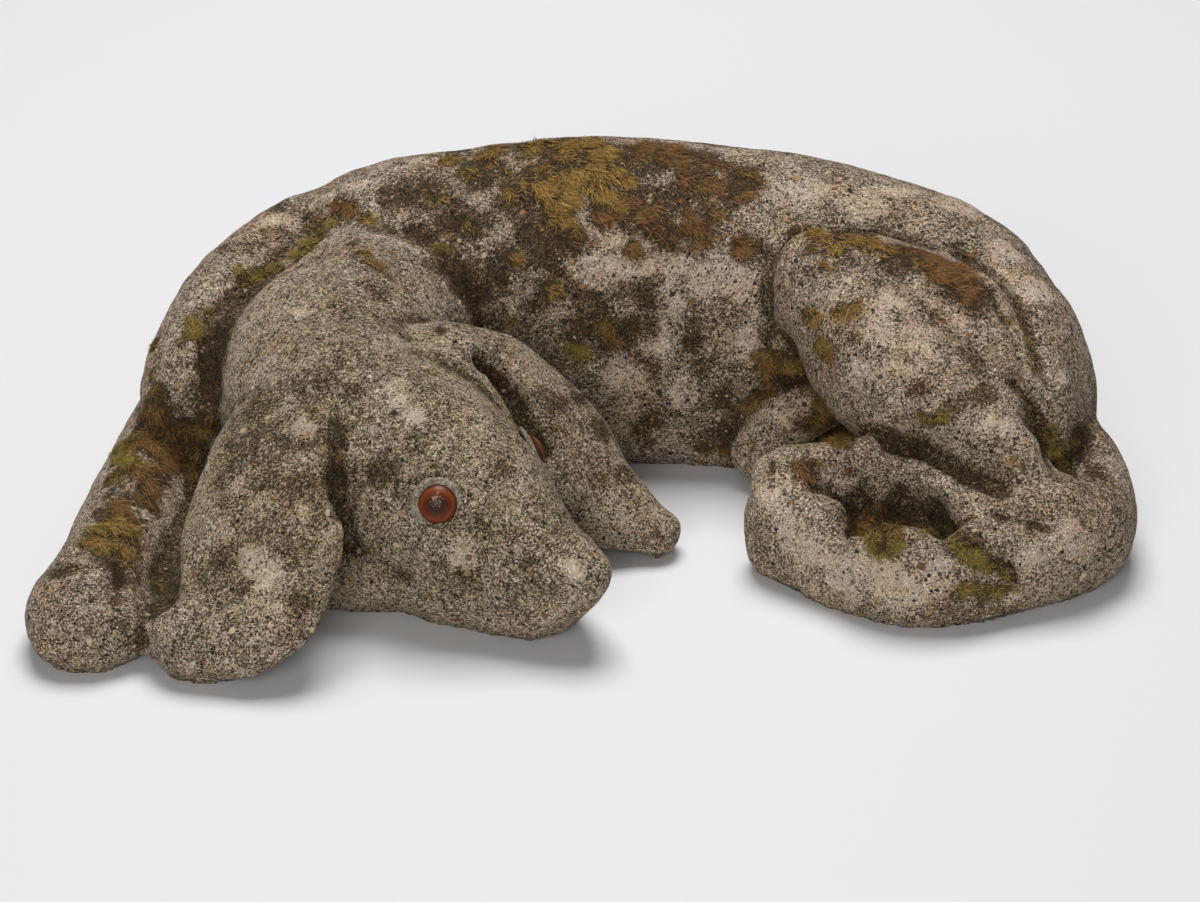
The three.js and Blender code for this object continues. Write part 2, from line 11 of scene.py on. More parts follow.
import bpy
import numpy as np
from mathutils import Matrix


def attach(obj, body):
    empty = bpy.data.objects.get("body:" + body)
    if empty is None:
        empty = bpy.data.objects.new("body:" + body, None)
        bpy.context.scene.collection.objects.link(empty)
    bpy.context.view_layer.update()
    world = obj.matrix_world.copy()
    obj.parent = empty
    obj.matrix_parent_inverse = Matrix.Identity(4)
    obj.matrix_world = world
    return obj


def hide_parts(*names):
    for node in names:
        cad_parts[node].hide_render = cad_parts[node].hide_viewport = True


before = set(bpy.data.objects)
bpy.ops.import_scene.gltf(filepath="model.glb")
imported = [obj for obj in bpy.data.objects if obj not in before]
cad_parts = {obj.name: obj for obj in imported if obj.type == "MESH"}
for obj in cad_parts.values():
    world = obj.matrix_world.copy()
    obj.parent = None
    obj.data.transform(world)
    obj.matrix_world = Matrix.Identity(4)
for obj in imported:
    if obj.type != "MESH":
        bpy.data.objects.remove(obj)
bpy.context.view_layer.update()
scene = bpy.context.scene

# %% [markdown]
# The places of moss, creases and the camera were worked out in the units that the dog was carved in,
# with the origin where the photograph's camera looked. One function turns them into the model's metres.

# %% Carving units to metres
MM = 0.001
CARVING_UNIT = 1.00274 * MM
CARVING_ORIGIN = np.array([-3.20, 25.45, 0.3])


def in_metres(places):
    """Places in carving units, less the carving's origin, times the size of one unit."""
    return (np.asarray(places, float) - CARVING_ORIGIN) * CARVING_UNIT


# %% [markdown]
# Stone is uneven at every size, from lumps as wide as a hand to grains of sand. Such a surface is easy to
# make from noise: random heights on a grid with smooth curves between them. Numpy works out the noise for
# all points of a mesh at once.

# %% Noise for whole arrays of points
def grid_random(cell, seed):
    """A number from 0 to 1 for each whole-number cell: its three numbers times large primes, with the
    bits shifted and mixed, so that the same cell always gives the same number."""
    mixed = (cell @ np.array([374761393, 668265263, 2147483647]) + seed * 144269) & 0xFFFFFFFF
    mixed = ((mixed ^ (mixed >> 13)) * 1274126177) & 0xFFFFFFFF
    return ((mixed ^ (mixed >> 16)) & 0xFFFFFF) / 0xFFFFFF


def noise(points, size, seed=0, layers=1):
    """Smooth noise from -1 to 1. Each point mixes the random numbers of its cell's eight corners, with
    weights 3t^2 - 2t^3 along each axis. Each further layer is half the size and half the height."""
    total = np.zeros(len(points))
    for layer in range(layers):
        q = points / (size / 2**layer) + 0.37 * layer
        cell = np.floor(q).astype(np.int64)
        t = q - cell
        t = t * t * (3 - 2 * t)
        value = np.zeros(len(points))
        for corner in range(8):
            step = np.array([corner & 1, corner >> 1 & 1, corner >> 2])
            weight = np.prod(np.where(step == 1, t, 1 - t), axis=1)
            value += weight * grid_random(cell + step, seed + 31 * layer)
        total += (2 * value - 1) / 2**layer
    return total / (2 - 2 ** (1 - layers))


def soft_step(low, high, values):
    """0 below low, 1 above high and 3t^2 - 2t^3 between them."""
    t = np.clip((values - low) / (high - low), 0, 1)
    return t * t * (3 - 2 * t)


# %% [markdown]
# A mesh in Blender is a list of points and a list of faces. For big meshes the arrays go in whole with
# foreach_set, which is much faster than adding points one by one.

# %% Put arrays into a mesh piece
def new_piece(name, points, faces, material):
    """A smooth mesh object at the origin from points (n, 3) and faces (m, 3 or 4), all of one size."""
    points = np.asarray(points, np.float32)
    faces = np.asarray(faces, np.int32)
    mesh = bpy.data.meshes.new(name)
    mesh.vertices.add(len(points))
    mesh.vertices.foreach_set("co", points.ravel())
    mesh.loops.add(faces.size)
    mesh.loops.foreach_set("vertex_index", faces.ravel())
    mesh.polygons.add(len(faces))
    mesh.polygons.foreach_set("loop_start", np.arange(0, faces.size, faces.shape[1], dtype=np.int32))
    mesh.update(calc_edges=True)
    mesh.polygons.foreach_set("use_smooth", np.ones(len(faces), bool))
    mesh.validate()
    piece = bpy.data.objects.new(name, mesh)
    scene.collection.objects.link(piece)
    mesh.materials.append(material)
    return piece


def paint(piece, name, values):
    """Stores one number for each point of a piece, which its material reads by that name."""
    layer = piece.data.attributes.new(name, "FLOAT", "POINT")
    layer.data.foreach_set("value", np.asarray(values, np.float32))


def read_points(mesh):
    """The places of a mesh's vertices as an array (n, 3)."""
    places = np.zeros(len(mesh.vertices) * 3, np.float32)
    mesh.vertices.foreach_get("co", places)
    return places.reshape(-1, 3).astype(float)


# %% [markdown]
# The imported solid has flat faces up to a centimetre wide. A voxel remesh lays an even net of small
# squares over it, fine enough to take the carver's creases and the worn lumps. Then the facets are
# smoothed away: every point moves towards the mean of its neighbours and a little back again, so the form
# doesn't shrink.

# %% An even net over the solid dog
SKIN_STEP = 2.15 * MM
UNDERSIDE_HEIGHT = 0.8 * SKIN_STEP  # points lower than this lie in the flat underside
FACET_SMOOTHING = 9  # turns of smoothing that take the solid's facets away


def neighbour_mean(values, edges):
    """For each point, the sum of its neighbours' values over their number, along the mesh's edges."""
    both = np.concatenate([edges, edges[:, ::-1]])
    count = np.bincount(both[:, 0], minlength=len(values))
    sums = [np.bincount(both[:, 0], values[both[:, 1], k], len(values)) for k in range(values.shape[1])]
    return np.stack(sums, 1) / np.maximum(count, 1)[:, None]


def relax(points, edges, turns, back=0.0):
    """Smoothing: half a step to the neighbours' mean each turn. A step back keeps the volume."""
    for _ in range(turns):
        points = points + 0.5 * (neighbour_mean(points, edges) - points)
        if back:
            points = points - back * (neighbour_mean(points, edges) - points)
    return points


def even_net(node, step):
    """The points, square faces and edges of a CAD node's mesh, merged and remeshed with squares of one
    size. The copy is only a mould, and is removed again."""
    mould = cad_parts[node].copy()
    mould.data = mould.data.copy()
    mould.parent = None
    scene.collection.objects.link(mould)
    weld = mould.modifiers.new("weld", "WELD")
    weld.merge_threshold = 0.01 * MM
    net = mould.modifiers.new("net", "REMESH")
    net.mode = "VOXEL"
    net.voxel_size = step
    bpy.context.view_layer.update()
    shown = mould.evaluated_get(bpy.context.evaluated_depsgraph_get())
    mesh = bpy.data.meshes.new_from_object(shown)
    points = read_points(mesh)
    corners = np.zeros(len(mesh.loops), np.int32)
    mesh.loops.foreach_get("vertex_index", corners)
    edges = np.zeros(len(mesh.edges) * 2, np.int32)
    mesh.edges.foreach_get("vertices", edges)
    faces = corners.reshape(-1, 4)
    bpy.data.objects.remove(mould)
    bpy.data.meshes.remove(mesh)
    return points, faces, edges.reshape(-1, 2)


def face_normals(points, faces):
    """For each square, the cross product of its diagonals, twice its area long."""
    a, b, c, d = (points[faces[:, k]] for k in range(4))
    return np.cross(c - a, d - b)


def point_normals(points, faces):
    """For each point, the sum of the normals of the squares round it, made one long."""
    across = face_normals(points, faces)
    total = np.zeros_like(points)
    for k in range(4):
        for axis in range(3):
            total[:, axis] += np.bincount(faces[:, k], across[:, axis], len(points))
    return total / np.maximum(np.linalg.norm(total, axis=1, keepdims=True), 1e-12)


skin_points, skin_faces, skin_edges = even_net("stone_dog", SKIN_STEP)
underside = skin_points[:, 2] < UNDERSIDE_HEIGHT
skin_points = relax(skin_points, skin_edges, FACET_SMOOTHING, back=0.52)
print("net of", len(skin_faces), "squares")

# %% [markdown]
# The carver's finer cuts are lines on the stone: the crease behind the ear, the toes, the tendons above
# the hock, the folds of the belly. Each is a path, and the skin sinks near it in a bell curve. A ridge
# is the same with the sign turned round.

# %% Cuts and ridges in the skin
# Each is a path in carving units, its width and its depth, which is negative for a ridge.
CUTS = [
    ("neck crease", [(-125, 88, 103), (-135, 64, 100), (-148, 62, 95), (-161, 50, 92), (-169, 38, 87),
                     (-170, 24, 78), (-166, 11, 66)], 3.2, 2.4),
    ("thigh crease", [(156, 51, 108), (165, 30, 106), (170, 16, 101), (176, 7, 93), (178, -5, 85),
                      (182, -11, 76), (187, -16, 64)], 3.2, 2.4),
    ("near ear crease", [(-105, -76, 67), (-104, -80, 58), (-104, -82, 46), (-103, -78, 34)], 3.0, 2.2),
    ("far ear crease", [(-41, 3, 72), (-36, 0, 68), (-32, -3, 61)], 3.0, 1.2),
    ("outer toe", [(-195, -86, 31), (-195, -108, 28), (-196, -123, 17), (-199, -124, 6)], 2.6, 1.2),
    ("middle toe", [(-187, -82, 27), (-187, -104, 25), (-184, -118, 15)], 2.6, 1.2),
    ("last toe", [(-205, -104, 33), (-208, -121, 26), (-210, -127, 14)], 2.4, 0.8),
    ("belly fold 1", [(42, 57, 78), (41, 54, 65), (44, 52, 49), (46, 52, 34)], 4.5, 1.0),
    ("belly fold 2", [(57, 54, 74), (59, 51, 59), (57, 50, 42), (56, 52, 24)], 5, 0.7),
    ("belly fold 3", [(22, 57, 72), (24, 54, 55), (20, 54, 38), (18, 56, 22)], 5, 0.9),
    ("belly fold 4", [(72, 58, 90), (74, 52, 78), (72, 49, 65)], 4.5, 1.0),
    ("hock groove", [(174, -11, 79), (180, -14, 70), (187, -17, 57), (193, -18, 44)], 2.8, 2.0),
    ("hock ridge", [(186, -8, 74), (193, -11, 60), (199, -13, 48), (203, -33, 43)], 3.0, -1.4),
    ("shank crease", [(122, -20, 53), (134, -26, 54), (144, -35, 52), (154, -44, 49), (166, -50, 47)],
     2.8, 2.0),
    ("foot over tail", [(136, -41, 32), (146, -54, 31), (154, -75, 33), (164, -76, 26), (171, -78, 21)],
     3.0, 1.7),
    ("shank over foot", [(136, -36, 49), (149, -52, 46), (165, -62, 42), (185, -67, 38), (200, -61, 38)],
     2.8, 1.6),
    ("ring hole's floor", [(110, -38, 28), (118, -40, 28), (124, -38, 30)], 9, 3.5),
    ("ring hole's rim", [(102, -32, 38), (99, -45, 34), (101, -60, 33), (105, -71, 34)], 4.5, -2.2),
    ("far tongue", [(105, -71, 34), (115, -77, 38), (127, -75, 42)], 3.5, -1.2),
    ("toe knob 1", [(76, -27, 48), (80, -26, 51)], 5, -2.4),
    ("toe knob 2", [(90, -28, 52), (93, -26, 53)], 4.5, -2.2),
    ("toe knob gap", [(84, -18, 52), (85, -26, 51), (89, -32, 47), (90, -38, 41)], 2.4, 1.8),
    ("lip", [(-49, -100, 17), (-36, -104, 20), (-24, -108, 25), (-12, -109, 28)], 2.2, 0.9),
    ("mouth corner", [(-10, -104, 17), (-4, -105, 23)], 3.0, 1.6),
    ("brow", [(-79, -80, 73), (-71, -79, 76), (-61, -80, 76), (-52, -83, 73)], 5, -1.4),
    ("cheek", [(-74, -86, 44), (-62, -92, 36)], 13, -1.8),
    ("flank lump", [(80, 49, 72), (78, 50, 77)], 7, -2.2),
]


def distance_to_path(points, path):
    """The distance from each point to the nearest stretch of a path: the point less its foot on the
    stretch, where the foot's share of the way is held between 0 and 1."""
    nearest = np.full(len(points), np.inf)
    for start, end in zip(path[:-1], path[1:]):
        along = end - start
        share = np.clip((points - start) @ along / (along @ along), 0, 1)
        away = np.linalg.norm(points - start - share[:, None] * along, axis=1)
        nearest = np.minimum(nearest, away)
    return nearest


def carve(points, normals, cuts):
    """Sinks the points along their normals by depth times exp(-(distance / width)^2) for each cut."""
    sink = np.zeros(len(points))
    for _, path, width, depth in cuts:
        away = distance_to_path(points, in_metres(path))
        sink += depth * MM * np.exp(-((away / (width * MM)) ** 2))
    return points - sink[:, None] * normals


skin_normals = point_normals(skin_points, skin_faces)
skin_points = carve(skin_points, skin_normals, CUTS)
print(len(CUTS), "cuts and ridges")

# %% [markdown]
# Moss and lichen grow in patches. On the real dog each patch has a ragged edge, so a patch here is a ball
# with a place and a radius, and noise frays its rim. The masks are worked out once for each point of the
# skin, and both the stone material and the moss read them.

# %% Where moss, lichen and bloom grow
# Places x, y, z in carving units, listed under the radius of their patches.
PATCHES = {
    "gold_moss": {
        3: [(-57, 86, 110), (-53, 82, 107), (-48, 78, 103), (-40, 74, 99), (-75, 99, 117), (-68, 93, 114),
            (-95, 44, 104), (-91, 40, 103), (100, 14, 100), (106, 11, 102), (88, 23, 93)],
        4: [(-21, 64, 86), (-18, 62, 82), (-12, 60, 78), (-71, 96, 116), (-109, 70, 106), (-104, 60, 107),
            (-100, 51, 106), (-104, 94, 109), (89, 33, 111), (95, 32, 113), (90, 18, 93), (93, 11, 87),
            (94, 6, 84)],
        5: [(-49, 119, 127), (-42, 107, 125), (-35, 114, 128), (-28, 104, 126), (-35, 96, 121),
            (-24, 92, 120), (-18, 85, 115), (-11, 93, 122), (5, 86, 118), (0, 97, 125), (-58, 110, 124),
            (-67, 124, 124), (84, 71, 111), (91, 40, 118), (98, 38, 117)],
        6: [(-203, -57, 37), (-207, -74, 36), (-196, -62, 35), (-197, -75, 34), (-206, -65, 36),
            (-192, -67, 31), (-20, 84, 115), (-40, 98, 122), (-45, 126, 128), (90, 71, 112),
            (120, 39, 119)],
        7: [(-49, 118, 127), (95, 50, 120), (101, 49, 119), (107, 44, 120), (114, 42, 120),
            (-10, 180, 84)],
        8: [(-18, 88, 119), (20, 174, 98)],
        9: [(-31, 120, 130), (0, 93, 124), (-50, 164, 106)],
        10: [(4, 101, 128), (-27, 101, 126), (-13, 97, 125)],
        11: [(0, 172, 104)],
        12: [(-18, 118, 131), (-4, 108, 130)],
        13: [(-30, 166, 112)],
    },
    "brown_moss": {
        3: [(-4, 72, 105), (14, 70, 103), (82, -36, 46)],
        4: [(0, 82, 116), (45, 76, 112), (48, 73, 109), (170, 15, 100), (159, 14, 103), (147, 22, 110),
            (-114, 100, 110), (84, -31, 49), (88, -32, 48)],
        5: [(104, -47, 31), (114, -34, 28), (122, -38, 27), (112, -48, 25), (104, -55, 27),
            (128, -41, 27), (117, -42, 25), (18, 82, 115), (26, 76, 109), (40, 79, 113), (46, 73, 106),
            (0, 79, 111), (-7, 75, 106), (49, 82, 117), (9, 84, 118), (24, 77, 112), (28, 74, 109),
            (62, 69, 106), (166, 17, 103), (153, 18, 107), (-120, 105, 110), (-208, -49, 37),
            (-200, -51, 38), (-205, -38, 39)],
        6: [(-198, -18, 40), (-198, 5, 42), (-193, 12, 53), (-198, -39, 38), (-191, -27, 37),
            (-188, -3, 40), (-201, -45, 38), (68, 96, 126), (46, 86, 120), (18, 82, 117), (122, 36, 118),
            (162, 21, 106)],
        7: [(60, 90, 123), (130, 37, 116), (139, 36, 114), (145, 30, 112), (152, 30, 112),
            (157, 25, 109)],
        8: [(18, 116, 132), (62, 101, 127), (92, 152, 96), (-112, 152, 92)],
        9: [(27, 114, 131), (53, 105, 129), (40, 98, 127), (48, 93, 124), (60, 172, 80)],
        10: [(36, 110, 130), (44, 109, 130), (70, 160, 98)],
        12: [(48, 164, 104)],
    },
    "dark_moss": {
        3: [(42, 55, 72), (42, 53, 65), (65, 39, 26), (73, -31, 47), (202, -10, 50), (206, -13, 46),
            (54, 55, 15), (45, 57, 12)],
        4: [(-171, 4, 48), (-169, 2, 54), (62, 49, 38), (15, 58, 75), (13, 57, 74)],
        5: [(-195, -53, 35), (-194, -25, 39), (-189, -38, 34), (-187, 6, 42), (-193, 12, 61),
            (-176, 6, 46), (-174, 5, 37), (-178, 0, 34), (-184, -3, 37), (91, 39, 52), (68, 48, 43),
            (96, 32, 49), (103, -18, 54), (94, 32, 37), (114, -36, 29), (108, -52, 27), (4, 57, 71),
            (5, 56, 64)],
        6: [(-193, 12, 54), (-188, 7, 54), (-184, 5, 50), (-180, 6, 47), (-187, 5, 43), (-181, 6, 39),
            (-191, 8, 46), (72, 48, 56), (79, 47, 58), (85, 45, 56), (75, 46, 49), (98, 30, 42),
            (104, 41, 29), (108, -41, 28), (113, -43, 27), (117, -72, 40), (124, -40, 28),
            (175, 100, 40)],
        8: [(-60, 186, 14), (120, 160, 20), (-120, 165, 20)],
        9: [(30, 186, 12)],
    },
    "green_moss": {
        2: [(-182, -80, 19), (-194, -85, 31), (181, -66, 42), (187, -65, 42)],
        3: [(-194, 19, 67), (-194, 37, 73), (-135, 63, 100), (-183, -69, 19), (-67, 5, 95), (183, 4, 82),
            (184, -1, 79), (178, -10, 81), (180, -12, 75), (183, -14, 69), (186, -15, 62), (190, -16, 56),
            (193, -17, 49), (196, -16, 42), (124, -20, 65), (142, -29, 71), (172, -45, 58),
            (176, -45, 59), (140, -48, 27), (145, -54, 30), (160, -79, 26), (166, -78, 24),
            (168, -81, 17)],
        4: [(-192, -28, 38), (-193, -73, 32), (-204, -81, 36), (-169, 23, 77), (-169, 40, 88),
            (-161, 52, 92), (-155, 58, 94), (-148, 64, 95), (-142, 66, 96), (-132, 74, 101),
            (-127, 85, 101), (-124, 95, 103), (-66, 77, 98), (-39, 62, 73), (-31, 60, 71), (-24, 59, 67),
            (-18, 57, 63), (-12, 56, 60), (-9, 56, 56), (174, 11, 96), (180, 14, 90), (182, 8, 86),
            (134, -26, 70), (139, -28, 69), (114, -78, 37), (120, -81, 37), (126, -81, 40),
            (133, -77, 41), (147, -75, 36), (151, -77, 33), (155, -78, 30), (149, -87, 20),
            (158, -85, 16), (164, -83, 16)],
        5: [(-204, 5, 40), (-205, -25, 40), (-198, -27, 40), (-196, -63, 35), (-199, -76, 35),
            (-178, 26, 82), (-174, 26, 83), (-170, 26, 80), (-172, 31, 85), (-177, 32, 86),
            (-70, 78, 100), (-158, 118, 80), (200, 60, 60)],
        6: [(-205, -9, 40), (-197, -16, 41), (-208, -70, 37), (-202, -66, 37), (-150, 130, 88),
            (-90, 172, 70), (100, 158, 84)],
    },
    "stain": {
        4: [(14, 70, 103), (-4, 72, 105)],
        5: [(134, -20, 79), (161, -23, 76), (40, 54, 65), (44, 52, 54), (-48, -93, 56), (-40, -78, 71),
            (-28, -102, 42)],
        6: [(146, -27, 73), (24, 63, 92), (53, 51, 39), (-23, 4, 67), (210, -28, 45), (-219, -93, 33),
            (-189, -119, 16)],
        7: [(-84, 98, 115), (-116, 100, 109), (18, 60, 84), (35, 72, 107), (64, 69, 106), (22, 55, 25),
            (-102, -48, 92), (-89, -78, 69), (-55, -97, 33), (134, -26, 54), (148, -76, 35),
            (156, -86, 20), (45, 55, 18), (18, 58, 16), (-119, -125, 37)],
        8: [(-89, 100, 116), (-11, 58, 70), (9, 62, 88), (-89, 6, 96), (-96, 28, 103), (-108, -51, 90),
            (-133, -84, 70), (-9, 15, 57), (-165, 15, 71), (-162, 32, 82)],
        9: [(0, 57, 70), (0, 83, 117), (18, 79, 114), (-140, -102, 54), (-17, -8, 54), (0, -16, 34),
            (-169, 6, 61), (204, -11, 46), (-17, 6, 61), (0, 8, 46), (8, -9, 31)],
        10: [(-146, 89, 102), (-139, 108, 105), (-159, 80, 101), (-204, -17, 40), (-193, -38, 36),
            (-188, -21, 37), (-18, 78, 109), (62, 96, 126), (163, 16, 104)],
        11: [(-26, 71, 98), (-44, 67, 85), (-53, 70, 89), (-18, 64, 87), (-4, 61, 83), (-148, -54, 77),
            (-150, -85, 61)],
        12: [(96, 31, 40), (128, 34, 116), (149, 26, 111), (-203, -58, 38), (118, -42, 26)],
        13: [(-137, -77, 71), (-122, -69, 80), (-145, -94, 56), (-110, -77, 66), (-115, -103, 57),
            (-128, -112, 48), (-140, -115, 41), (-125, -92, 65), (-152, -74, 64), (-147, -58, 75),
            (-119, -52, 87), (-54, 110, 124), (-35, 92, 118), (-18, 79, 109), (-59, 134, 124),
            (113, -42, 26), (-57, 75, 96), (83, 45, 52), (-142, -48, 81), (-128, -63, 82),
            (-149, -69, 69), (-136, -74, 73), (-121, -86, 70), (-145, -94, 56), (-130, -97, 60),
            (-151, -104, 44)],
        14: [(-80, 85, 106), (-66, 88, 110), (-35, 80, 108), (22, 108, 130), (107, 42, 120),
            (-203, -18, 40)],
        15: [(-75, 98, 115), (-57, 84, 106), (-44, 75, 96), (-26, 65, 82), (-4, 63, 82), (-66, 75, 94),
            (9, 58, 68), (-31, 85, 113), (-198, -26, 40), (-193, 6, 42), (-202, -64, 36), (-194, -81, 31),
            (-186, 7, 51), (18, 88, 120), (44, 92, 123), (-53, 82, 107), (-44, 76, 101)],
        16: [(-22, 110, 129), (-4, 101, 128), (44, 105, 129), (-184, 6, 47), (190, 80, 50)],
        20: [(-160, 130, 50)],
        22: [(-100, 165, 70), (130, 150, 60)],
        24: [(20, 185, 60)],
        26: [(-20, 160, 118), (60, 150, 116)],
    },
    "lime": {
        4: [(4, 91, 123), (-127, 8, 102)],
        5: [(22, 88, 122), (-77, -61, 88), (-84, -46, 94), (-118, -66, 83), (-198, -27, 40),
            (-190, -44, 34), (-10, -106, 41)],
        6: [(-81, 126, 123), (44, 72, 107), (172, 42, 104), (139, -87, 28), (173, -79, 11), (81, 33, 38),
            (80, -37, 45), (-82, -54, 91), (-122, -63, 84), (-132, -115, 45), (-120, -98, 63),
            (-118, -101, 61), (-58, -96, 44), (-56, -96, 40), (195, -4, 76), (215, -27, 45)],
        7: [(-105, 111, 117), (-147, 99, 105), (87, 34, 45), (-140, -110, 47)],
        8: [(-130, 111, 107), (-136, 104, 105), (-142, 86, 101), (35, 52, 41), (75, 92, 125),
            (107, -77, 29), (71, -43, 39), (166, -36, 68)],
        9: [(-99, 128, 120), (0, 74, 106), (18, 73, 107), (35, 67, 100), (52, 64, 96), (174, 58, 108),
            (189, 37, 99), (127, 14, 105), (148, 4, 95), (109, -9, 83), (198, -68, 33)],
        10: [(9, 70, 103), (0, 67, 97), (13, 66, 96), (22, 66, 98), (44, 60, 88), (31, 60, 84),
            (61, 61, 93), (133, 95, 121), (118, -2, 98), (134, -5, 95), (126, -12, 89), (75, -51, 29),
            (181, -75, 28)],
        12: [(26, 55, 67), (13, 54, 48), (61, 52, 68), (88, 89, 124), (114, 85, 121), (159, 89, 116),
            (127, -88, 21), (83, -60, 20)],
        14: [(99, -74, 18), (115, -84, 23)],
        16: [(-130, 150, 80)],
        18: [(180, 90, 80)],
        20: [(-60, 178, 80), (40, 180, 80), (110, 155, 90), (90, 175, 30)],
        22: [(0, 190, 30)],
    },
    "lichen": {
        3: [(126, -20, 60)],
        4: [(-125, 7, 102), (-76, -60, 88), (-10, -108, 39), (18, 72, 105), (5, 68, 98), (-121, -63, 84),
            (176, 35, 100)],
        5: [(-67, -8, 91), (-82, -54, 91), (-57, -96, 42), (-134, -116, 44), (102, -76, 17)],
        6: [(-84, -5, 95), (-76, -6, 93), (-140, -108, 48), (117, -84, 26), (30, 188, 40)],
        7: [(-20, 180, 70), (190, 70, 70)],
        8: [(90, 165, 80), (-110, 160, 60)],
    },
}


RIM_NOISE = 1.5  # how far noise moves a patch's rim, as a share of its radius
RIM_NOISE_SIZE = 13 * MM


def patch_mask(points, patches, seed):
    """1 inside a patch's ball and 0 outside it, with noise added to the distance so that the rim is
    ragged: the largest over all patches of a soft step of 1 - distance / radius."""
    ragged = RIM_NOISE * noise(points, RIM_NOISE_SIZE, seed, 4)
    mask = np.zeros(len(points))
    for radius, places in patches.items():
        for place in places:
            away = np.linalg.norm(points - in_metres(place), axis=1) / (radius * MM)
            mask = np.maximum(mask, soft_step(-0.5, 0.85, 1 - away + ragged))
    return mask


masks = {name: patch_mask(skin_points, patches, seed=7 * k + 3)
         for k, (name, patches) in enumerate(PATCHES.items())}
print({name: int((mask > 0.5).sum()) for name, mask in masks.items()})

# %% [markdown]
# Weather wears soft and hard parts of the concrete unevenly, so the skin gets lumps of several sizes, and
# moss lifts it by the depth of its felt. The underside stays flat, because the dog stands on it. How far
# each point lies in a hollow is measured too: dirt gathers there, and the material darkens the hollows
# with painted shade as well.

# %% Wear the skin and measure its hollows
LUMPS = [(38, 0.7), (15, 0.5), (6.5, 0.38)]  # size and height in millimetres
LUMP_SEED = 2
DEEPEST_WEAR = -1.6 * MM
HOLLOW_SMOOTHING = 24  # turns of smoothing that show which points lie in a hollow
FULL_HOLLOW = 1.2 * MM  # how far below the smoothed skin a point counts as deep in a hollow
# How thick the felt under each moss is, in millimetres
FELT = {"gold_moss": 0.35, "brown_moss": 0.3, "dark_moss": 0.5, "green_moss": 0.35}

skin_normals = point_normals(skin_points, skin_faces)
lift = sum(height * MM * noise(skin_points, size * MM, LUMP_SEED, 2) for size, height in LUMPS)
lift = lift + sum(depth * MM * masks[name] for name, depth in FELT.items())
lift[underside] = 0
skin_points = skin_points + np.maximum(lift, DEEPEST_WEAR)[:, None] * skin_normals
skin_points[:, 2] = np.maximum(skin_points[:, 2], 0)
skin_points[underside, 2] = 0
smoothed = relax(skin_points, skin_edges, HOLLOW_SMOOTHING)
skin_normals = point_normals(skin_points, skin_faces)
hollow = np.clip(np.sum((smoothed - skin_points) * skin_normals, 1) / FULL_HOLLOW, -1, 1)
print("hollows from", round(float(hollow.min()), 2), "to", round(float(hollow.max()), 2))

# %% [markdown]
# Materials are nodes. Writing them by hand takes many lines, so a few small helpers add a node, give its
# inputs values or links, and return its output.

# %% Helpers for shader nodes
def put(tree, value, socket):
    """Links another node's output to a socket, or sets the socket to a plain value."""
    if isinstance(value, bpy.types.NodeSocket):
        tree.links.new(value, socket)
    else:
        socket.default_value = value


def add(tree, kind, output=0, settings=None, **inputs):
    """One node. Inputs are given by name, with _ for a space, or by number as i0, i1 and i2, and each is
    a value or another node's output."""
    node = tree.nodes.new(kind)
    for key, value in (settings or {}).items():
        setattr(node, key, value)
    for key, value in inputs.items():
        name = key.replace("_", " ")
        put(tree, value, node.inputs[int(name[1:]) if name[0] == "i" and name[1:].isdigit() else name])
    return node.outputs[output]


def calc(tree, operation, a, b=0.0):
    """A Math node: a operation b."""
    return add(tree, "ShaderNodeMath", settings={"operation": operation}, i0=a, i1=b)


def blend(tree, factor, a, b, how="MIX"):
    """A colour Mix node, from a to b."""
    node = tree.nodes.new("ShaderNodeMix")
    node.data_type = "RGBA"
    node.blend_type = how
    for number, value in ((0, factor), (6, a), (7, b)):
        put(tree, (*value, 1) if isinstance(value, tuple) else value, node.inputs[number])
    return node.outputs[2]


def ramp(tree, value, stops, steps="LINEAR"):
    """A colour ramp over a value, from stops of (place, colour)."""
    node = tree.nodes.new("ShaderNodeValToRGB")
    node.color_ramp.interpolation = steps
    points = node.color_ramp.elements
    while len(points) < len(stops):
        points.new(0.5)
    for point, (place, colour) in zip(points, stops):
        point.position = place
    for point, (place, colour) in zip(points, stops):
        point.color = (*colour, 1)
    tree.links.new(value, node.inputs[0])
    return node.outputs[0]


def span(tree, value, low, high, to_low=0.0, to_high=1.0):
    """A Map Range node that holds its result between its ends."""
    return add(tree, "ShaderNodeMapRange", Value=value, From_Min=low, From_Max=high, To_Min=to_low,
               To_Max=to_high)


def three_numbers(tree, colour):
    """The three parts of a colour, used as three random numbers."""
    return add(tree, "ShaderNodeSeparateColor", Color=colour).node.outputs


def clouds(tree, place, scale, detail=4.0, rough=0.6, output=0):
    """A noise texture at so many features to the metre."""
    return add(tree, "ShaderNodeTexNoise", output, Vector=place, Scale=scale, Detail=detail,
               Roughness=rough)


def cells(tree, place, scale, output="Distance"):
    """A Voronoi texture at so many cells to the metre."""
    return add(tree, "ShaderNodeTexVoronoi", output, Vector=place, Scale=scale)


def new_group(name, inputs, outputs):
    """A shader node group with named sockets. Gives the tree, and the outputs of its input node."""
    tree = bpy.data.node_groups.new(name, "ShaderNodeTree")
    for kind, sockets in (("INPUT", inputs), ("OUTPUT", outputs)):
        for socket, form in sockets.items():
            tree.interface.new_socket(socket, in_out=kind, socket_type="NodeSocket" + form)
    return tree, tree.nodes.new("NodeGroupInput").outputs, tree.nodes.new("NodeGroupOutput").inputs


def use_group(tree, group, **inputs):
    """A group's node in another tree. Gives all its outputs."""
    node = tree.nodes.new("ShaderNodeGroup")
    node.node_tree = group
    for key, value in inputs.items():
        put(tree, value, node.inputs[key.replace("_", " ")])
    return node.outputs


